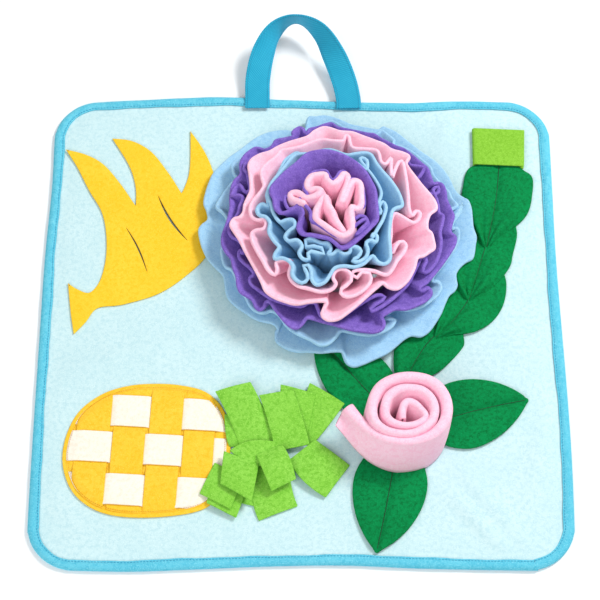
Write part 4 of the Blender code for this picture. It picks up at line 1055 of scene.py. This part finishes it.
flower = {
    "thickness": 2.5, "rim thickness": 3.7, "rim width": 4.5, "lip step": 1.9, "levels": 15,
    "root height": 4.6, "root rise": 0.45, "root spread": 0.12,
    "lean window": 46, "droop": 0.35, "steadiest": 0.25,
    "foot thickness": (1.5, 1.6),  # the most at the fleece, and how much more for each millimetre above it
    # root centre x y, root radius; then for each wing: lip, height, how far in and down it lies behind
    "strips": {
        "ruffle_blue_outer": (36, 84, 80, ("blue low", 14, 20, 1.5), ("blue high", 27, 12, 5)),
        "ruffle_purple_outer": (36, 84, 66, ("purple low", 37, 13, 7), ("purple high", 42, 7, 9)),
        "ruffle_pink_outer": (35, 85, 54, ("pink low", 49, 15, 8)),
        "ruffle_pink_inner": (34, 87, 49, ("pink high", 57.4, 8, 10)),
        "ruffle_blue_inner": (33, 89, 40, ("blue middle", 62, 6, 13), ("blue inside", 67, 4, 14)),
        "ruffle_purple_inner": (30, 92, 32, ("purple inside", 72, 12, 9)),
    },
    "heart centre": (27.0, 96.0),
    # lip, height, inward, downward, share of its reach at the root, thickness of cloth and rim, closed
    "heart strips": {
        "ruffle_purple_collar": ("collar", 74, 3, 12, 0.55, (2.6, 3.4), True),
        "ruffle_pink_centre": ("heart", 76, 1, 14, 0.8, (10.5, 6.4), False),
    },
    # each lip's bends as picked in the photo's frame of 600 by 600, clockwise from the back
    "lips": {
        "blue low": (
            (308, 119), (316, 118), (325, 117), (334, 119), (342, 122), (351, 126), (361, 128), (371, 130),
            (378, 131), (382, 128), (388, 130), (396, 134), (405, 141), (414, 148), (423, 155), (431, 160),
            (438, 166), (444, 173), (449, 181), (452, 188), (456, 194), (462, 198), (467, 201), (470, 209),
            (471, 218), (472, 228), (475, 237), (474, 245), (473, 253), (471, 259), (465, 262), (459, 267),
            (455, 273), (455, 279), (456, 285), (453, 291), (448, 295), (444, 303), (440, 313), (434, 323),
            (428, 331), (420, 336), (411, 335), (403, 339), (395, 346), (386, 353), (375, 358), (364, 363),
            (354, 366), (347, 363), (344, 356), (341, 351), (332, 351), (321, 352), (309, 351), (296, 351),
            (285, 347), (277, 341), (276, 334), (278, 328), (273, 323), (264, 321), (255, 318), (246, 312),
            (237, 306), (230, 299), (227, 291), (226, 283), (224, 275), (216, 267), (209, 259), (204, 249),
            (201, 239), (200, 230), (204, 224), (209, 220), (208, 212), (205, 204), (207, 193), (210, 184),
            (214, 175), (222, 166), (231, 158), (241, 151), (250, 144), (259, 138), (269, 134), (280, 132),
            (290, 132), (298, 135), (305, 131),
        ),
        "blue high": (
            (300, 140), (315, 130), (330, 122), (340, 126), (352, 133), (368, 138), (376, 135), (381, 131),
            (388, 136), (394, 141), (393, 146), (400, 147), (412, 153), (422, 161), (430, 168), (433, 176),
            (440, 184), (448, 192), (451, 199), (457, 206), (450, 211), (455, 217), (462, 205), (459, 214),
            (453, 222), (451, 229), (455, 228), (458, 230), (458, 240), (454, 249), (447, 259), (440, 268),
            (433, 276), (432, 281), (438, 282), (441, 287), (438, 294), (430, 301), (420, 307), (408, 310),
            (396, 309), (388, 313), (382, 317), (389, 319), (395, 320), (391, 327), (382, 332), (371, 335),
            (359, 334), (349, 332), (341, 331), (335, 338), (328, 344), (320, 345), (311, 340), (302, 336),
            (293, 331), (286, 325), (280, 316), (272, 311), (264, 313), (256, 311), (250, 305), (246, 297),
            (240, 288), (236, 277), (232, 270), (226, 267), (223, 259), (222, 250), (225, 242), (228, 232),
            (228, 221), (223, 213), (217, 208), (219, 202), (225, 193), (231, 185), (238, 178), (235, 176),
            (233, 170), (232, 166), (238, 160), (246, 153), (254, 149), (263, 148), (269, 145), (278, 141),
            (288, 137),
        ),
        "purple low": (
            (309, 130), (317, 128), (325, 125), (332, 124), (338, 128), (347, 130), (357, 132), (366, 134),
            (374, 135), (380, 139), (388, 143), (396, 147), (404, 150), (412, 156), (420, 163), (427, 169),
            (430, 177), (433, 184), (437, 183), (442, 185), (445, 192), (446, 200), (450, 209), (453, 216),
            (451, 224), (450, 232), (455, 237), (454, 245), (448, 255), (441, 265), (433, 275), (426, 283),
            (419, 288), (423, 291), (429, 288), (431, 294), (426, 300), (417, 305), (406, 309), (395, 309),
            (387, 313), (382, 317), (384, 323), (382, 329), (374, 332), (362, 331), (349, 329), (336, 325),
            (324, 322), (314, 319), (307, 318), (302, 324), (297, 328), (290, 326), (283, 319), (276, 310),
            (270, 302), (266, 302), (264, 307), (260, 310), (256, 307), (253, 300), (247, 296), (241, 292),
            (238, 285), (237, 276), (234, 268), (232, 259), (227, 253), (223, 245), (223, 236), (226, 227),
            (229, 218), (231, 208), (231, 198), (232, 189), (235, 181), (241, 175), (241, 169), (241, 163),
            (245, 156), (251, 151), (257, 148), (265, 150), (272, 147), (276, 141), (285, 139), (293, 137),
            (293, 132), (299, 128), (303, 129), (306, 135),
        ),
        "purple high": (
            (300, 143), (315, 138), (330, 130), (345, 136), (362, 140), (378, 144), (392, 150), (404, 157),
            (410, 165), (416, 166), (424, 168), (420, 176), (416, 181), (422, 189), (430, 194), (438, 193),
            (438, 187), (433, 190), (436, 198), (438, 206), (439, 213), (443, 216), (442, 224), (440, 232),
            (441, 241), (440, 251), (436, 262), (429, 271), (423, 273), (424, 266), (427, 260), (422, 256),
            (418, 264), (412, 276), (407, 285), (397, 295), (386, 304), (376, 310), (369, 311), (373, 306),
            (382, 301), (385, 297), (378, 295), (367, 300), (356, 307), (346, 314), (334, 320), (322, 317),
            (318, 309), (315, 303), (308, 303), (303, 306), (296, 306), (284, 303), (272, 299), (264, 294),
            (257, 289), (251, 284), (250, 278), (254, 274), (250, 268), (244, 263), (239, 257), (240, 250),
            (243, 254), (244, 247), (238, 240), (232, 237), (229, 230), (232, 222), (238, 214), (240, 206),
            (243, 198), (238, 195), (232, 196), (235, 188), (240, 185), (245, 192), (250, 190), (249, 182),
            (247, 173), (244, 169), (247, 162), (256, 156), (268, 152), (282, 147),
        ),
        "pink low": (
            (308, 137), (299, 140), (289, 143), (279, 147), (270, 152), (260, 155), (252, 160), (249, 166),
            (250, 174), (251, 183), (251, 191), (248, 198), (245, 205), (244, 212), (240, 217), (234, 219),
            (231, 225), (234, 231), (240, 240), (245, 250), (251, 261), (257, 272), (262, 282), (266, 291),
            (274, 297), (284, 301), (296, 304), (309, 302), (320, 301), (327, 302), (324, 309), (322, 315),
            (328, 320), (338, 319), (347, 313), (357, 305), (367, 296), (376, 288), (383, 283), (388, 287),
            (396, 289), (403, 285), (409, 278), (414, 268), (417, 258), (423, 256), (429, 252), (434, 248),
            (433, 240), (431, 233), (427, 229), (427, 221), (430, 214), (436, 209), (434, 201), (428, 193),
            (421, 185), (414, 176), (408, 168), (406, 163), (409, 157), (402, 153), (391, 150), (384, 145),
            (374, 141), (363, 137), (352, 133), (340, 132), (331, 129), (323, 128), (314, 132),
        ),
        "pink high": (
            (300, 147), (290, 149), (281, 151), (276, 157), (268, 163), (262, 170), (262, 178), (264, 186),
            (259, 194), (253, 201), (250, 209), (252, 217), (258, 220), (264, 219), (266, 224), (263, 229),
            (257, 230), (252, 233), (252, 240), (257, 251), (263, 261), (268, 270), (275, 275), (277, 269),
            (276, 263), (281, 260), (288, 260), (291, 265), (289, 273), (291, 280), (298, 286), (309, 289),
            (321, 292), (331, 290), (336, 284), (333, 278), (335, 272), (341, 269), (348, 271), (352, 277),
            (349, 284), (342, 288), (341, 294), (348, 297), (358, 294), (367, 287), (371, 280), (369, 273),
            (362, 272), (357, 278), (352, 276), (354, 271), (363, 270), (374, 271), (386, 275), (392, 270),
            (397, 261), (404, 252), (406, 245), (401, 241), (396, 246), (392, 254), (390, 245), (391, 234),
            (391, 222), (394, 214), (399, 215), (406, 219), (414, 223), (419, 219), (420, 213), (416, 211),
            (412, 216), (409, 208), (408, 194), (406, 178), (403, 163), (399, 162), (395, 170), (392, 178),
            (391, 168), (391, 158), (386, 164), (381, 162), (379, 154), (375, 150), (364, 149), (353, 148),
            (350, 143), (349, 137), (345, 136), (343, 141), (333, 141), (321, 140), (310, 143),
        ),
        "blue middle": (
            (303, 155), (297, 153), (291, 156), (285, 161), (281, 169), (276, 178), (271, 186), (267, 194),
            (268, 201), (268, 206), (262, 204), (257, 209), (259, 215), (266, 217), (270, 223), (269, 232),
            (274, 241), (279, 247), (275, 254), (275, 259), (282, 258), (289, 261), (293, 267), (292, 274),
            (296, 280), (303, 283), (308, 278), (306, 271), (303, 266), (308, 265), (311, 271), (312, 280),
            (317, 285), (325, 282), (330, 275), (335, 268), (344, 266), (354, 267), (363, 264), (369, 259),
            (373, 256), (378, 262), (385, 264), (390, 259), (390, 248), (389, 236), (390, 224), (392, 212),
            (396, 208), (402, 206), (401, 199), (397, 190), (390, 180), (382, 171), (376, 163), (371, 155),
            (364, 153), (355, 154), (346, 155), (330, 150), (316, 152),
        ),
        "blue inside": (
            (302, 154), (294, 156), (287, 164), (279, 174), (271, 184), (268, 194), (271, 204), (274, 214),
            (280, 222), (286, 220), (293, 220), (295, 226), (289, 231), (285, 237), (289, 241), (297, 240),
            (302, 246), (299, 253), (303, 259), (309, 259), (308, 253), (314, 251), (321, 255), (325, 252),
            (320, 247), (313, 246), (306, 247), (305, 241), (310, 238), (317, 241), (322, 243), (328, 243),
            (331, 249), (328, 254), (333, 254), (338, 250), (344, 254), (350, 252), (351, 247), (357, 247),
            (361, 251), (358, 257), (352, 260), (358, 262), (366, 257), (368, 250), (366, 243), (371, 240),
            (376, 242), (377, 236), (373, 234), (372, 238), (378, 228), (383, 219), (386, 208), (383, 202),
            (379, 206), (381, 212), (378, 214), (377, 206), (381, 195), (379, 187), (373, 177), (366, 168),
            (360, 160), (362, 158), (367, 161), (366, 170), (356, 163), (340, 156), (322, 155),
        ),
        "purple inside": (
            (306, 155), (296, 164), (287, 171), (278, 180), (272, 187), (271, 193), (274, 199), (275, 207),
            (280, 213), (287, 212), (295, 208), (301, 208), (303, 214), (300, 221), (298, 228), (302, 234),
            (310, 235), (320, 237), (329, 239), (335, 243), (341, 248), (348, 247), (355, 242), (363, 235),
            (371, 227), (377, 220), (377, 210), (376, 200), (375, 191), (371, 182), (365, 172), (356, 163),
            (346, 157), (336, 153), (326, 151), (315, 152),
        ),
        "collar": (
            (297, 206), (289, 209), (285, 202), (286, 196), (293, 200), (303, 204), (310, 211), (311, 220),
            (316, 223), (325, 229), (334, 235), (343, 238), (350, 233), (355, 226), (361, 221), (366, 219),
            (367, 223), (361, 229), (356, 235), (362, 230), (368, 224), (365, 217), (359, 216), (355, 219),
            (352, 212), (358, 210), (364, 206), (364, 196), (362, 187), (357, 180), (352, 179), (348, 180),
            (345, 172), (340, 172), (336, 178), (332, 180), (329, 176), (326, 171), (319, 171), (312, 173),
            (306, 180), (304, 188), (307, 195), (300, 199),
        ),
        "heart": (
            (303, 203), (292, 199), (291, 194), (298, 193), (306, 198), (315, 196), (321, 191), (316, 189),
            (309, 190), (307, 184), (311, 177), (318, 175), (325, 175), (327, 180), (333, 184), (339, 180),
            (344, 174), (348, 178), (347, 185), (344, 193), (341, 203), (345, 196), (350, 185), (354, 181),
            (360, 184), (361, 194), (361, 205), (357, 209), (352, 207), (351, 213), (352, 222), (351, 231),
            (343, 236), (334, 232), (324, 225), (316, 219), (316, 211), (320, 203), (325, 196), (327, 203),
            (332, 211), (335, 219), (343, 231),
        ),
    },
}


def slidingMean(values, window, closed):
    half = max(1, window // 2)
    padded = np.pad(values, half, mode="wrap" if closed else "edge")
    return np.convolve(padded, np.full(2 * half + 1, 1 / (2 * half + 1)), "valid")


def makeLip(picks, height, centre, closed):  # the lip's points, and how its gathers spread round the root
    level = underPicture(np.array(picks, float), np.full(len(picks), float(height)))
    if closed and (level[:, 0] * (np.roll(level[:, 1], -1) - np.roll(level[:, 1], 1))).sum() > 0:
        level = level[::-1]  # every closed lip runs clockwise
    path = smoothCurve(level, 1.0, closed)
    out = path[:, :2] - centre
    reach = np.hypot(out[:, 0], out[:, 1])
    window = flower["lean window"]
    droop = flower["droop"] * (reach - slidingMean(slidingMean(reach, window, closed), window, closed))
    shown = np.column_stack((picturePlace(path), path[:, 2] - droop))
    path = underPicture(shown[:, :2], shown[:, 2])
    turn = np.unwrap(np.arctan2(out[:, 1], out[:, 0]))
    if not closed:
        return path, turn
    whole = -2 * math.pi if turn[-1] < turn[0] else 2 * math.pi
    trend = turn[0] + whole * np.arange(len(turn)) / len(turn)
    sway = slidingMean(slidingMean(turn - trend, window, True), window, True)
    steps = np.diff(np.append(trend + sway, trend[0] + sway[0] + whole)) / whole
    steps = np.maximum(steps, flower["steadiest"] / len(steps))
    along = np.cumsum(steps / steps.sum()) - steps[0] / steps.sum()
    return path, trend[0] + sway[0] + whole * along


def wing(lips, roots, inward, downward):  # rows from the sewn root to the lip
    t = np.linspace(0, 1, flower["levels"])[None, :, None]
    back = np.column_stack((unit(roots[:, :2] - lips[:, :2]) * inward, np.full(len(lips), -float(downward))))
    spread = flower["root spread"]
    start = roots + (lips - roots) * np.array((spread, spread, flower["root rise"]))
    a, b, c, d = (p[:, None] for p in (roots, start, lips + back, lips))
    return a * (1 - t) ** 3 + 3 * b * t * (1 - t) ** 2 + 3 * c * t ** 2 * (1 - t) + d * t ** 3


def addStrip(name, wings, closed, thicknesses=None):
    middle = wings[0] if len(wings) == 1 else np.concatenate((wings[0][:, ::-1], wings[1][:, 1:]), 1)
    fromRim = np.linalg.norm(middle - middle[:, -1:], axis=2)
    if len(wings) == 2:
        fromRim = np.minimum(fromRim, np.linalg.norm(middle - middle[:, :1], axis=2))
    soft = np.exp(-(fromRim / flower["rim width"]) ** 2)
    plain, rim = thicknesses or (flower["thickness"], flower["rim thickness"])
    # a thick strip is pressed thinner at its root
    foot, perHeight = flower["foot thickness"]
    room = perHeight * (middle[..., 2] - mat["thickness"]) + foot
    thick = np.minimum(plain + (rim - plain) * soft, room)
    mesh = sheetMesh(name + "_strip", middle, thick, closed, 6)
    area, width, run = 0, 0, 0
    for part in wings:
        around = spansOf(part).sum(0)
        height = spansOf(part, 1).sum(1).mean()
        area += around.mean() * height
        width += height
        run = max(run, around.max())
    print(name, "cut", round(width), "x", round(run), "mm,", round(area / 100), "square cm")
    addPiece(name + "_strip", mesh, name.split("_")[1] + "_fleece",
             nodes=(name,))


def makeFlower():
    foot = flower["root height"]
    for name, (cx, cy, radius, *wings) in flower["strips"].items():
        centre = np.array((cx, cy), float)
        lips = [makeLip(flower["lips"][pick], height, centre, True) for pick, height, _, _ in wings]
        count = round(max(len(path) for path, _ in lips) / flower["lip step"])
        spread = -2 * math.pi * np.arange(count) / count
        rootTurn = lips[0][1][0] + spread
        roots = np.column_stack((centre + heading(np.degrees(rootTurn)) * radius, np.full(count, foot)))
        parts = []
        for (path, turn), (_, _, inward, downward) in zip(lips, wings):
            turns = np.concatenate((turn + 2 * math.pi, turn, turn - 2 * math.pi))[::-1]
            shift = 2 * math.pi * round((turn[0] - rootTurn[0]) / (2 * math.pi))
            columns = [np.interp(rootTurn + shift, turns, np.tile(axis, 3)[::-1]) for axis in path.T]
            parts.append(wing(np.column_stack(columns), roots, inward, downward))
        addStrip(name, parts, True)
    centre = np.array(flower["heart centre"])
    for name, (pick, height, inward, downward, scale, thicknesses, closed) in flower["heart strips"].items():
        path, _ = makeLip(flower["lips"][pick], height, centre, closed)
        lip = evenly(path, flower["lip step"], closed)
        roots = np.column_stack((centre + (lip[:, :2] - centre) * scale, np.full(len(lip), foot)))
        addStrip(name, [wing(lip, roots, inward, downward)], closed, thicknesses)


makePanel()
makeBinding()
print("mat and binding made")
makeHandle()
makeBanana()
makePineapple()
makeCrown()
makeTab()
makeLeaves()
print("felt pieces made")
makeRose()
makeFlower()
print("rose and flower made")
makeStitchesAndSlitShadows()


# Studio

studio = {
    "floor size": 6.0, "floor depth": 0.0002, "floor": tint(250, 251, 252), "sky": 0.47,
    # place, power, size
    "key light": ((1.25, 0.9, 1.65), 37, 0.6),
    "fill light": ((-0.8, -1.5, 1.5), 23, 1.6),
}


def makeFloor():
    reach = 0.5 * studio["floor size"]
    mesh = bpy.data.meshes.new("floor")
    corners = ((-reach, -reach), (reach, -reach), (reach, reach), (-reach, reach))
    mesh.from_pydata([(x, y, -studio["floor depth"]) for x, y in corners], [], [(0, 1, 2, 3)])
    material, _, _ = newMaterial("pale floor", **{"Base Color": studio["floor"], "Roughness": 0.9})
    mesh.materials.append(material)
    linked("floor", mesh)


def addLight(name):
    place, power, size = studio[name]
    light = bpy.data.lights.new(name, "AREA")
    light.energy = power
    light.size = size
    lamp = linked(name, light)
    lamp.location = place
    lamp.rotation_euler = (-Vector(place)).to_track_quat("-Z", "Y").to_euler()


def makeStudio():
    makeFloor()
    addLight("key light")
    addLight("fill light")
    world = bpy.data.worlds.new("studio")
    world.use_nodes = True
    background = world.node_tree.nodes["Background"]
    background.inputs["Color"].default_value = (1, 1, 1, 1)
    background.inputs["Strength"].default_value = studio["sky"]
    bpy.context.scene.world = world
    bpy.context.scene.view_settings.view_transform = "Standard"
    camera = linked("photo camera", bpy.data.cameras.new("photo camera"))
    camera.data.lens = view["lens"]
    camera.data.sensor_width = view["sensor"]
    aim = Vector(view["aim"])
    camera.location = Vector(eye)
    camera.rotation_euler = (aim - camera.location).to_track_quat("-Z", "Y").to_euler()
    bpy.context.scene.camera = camera


makeStudio()
print("studio made")
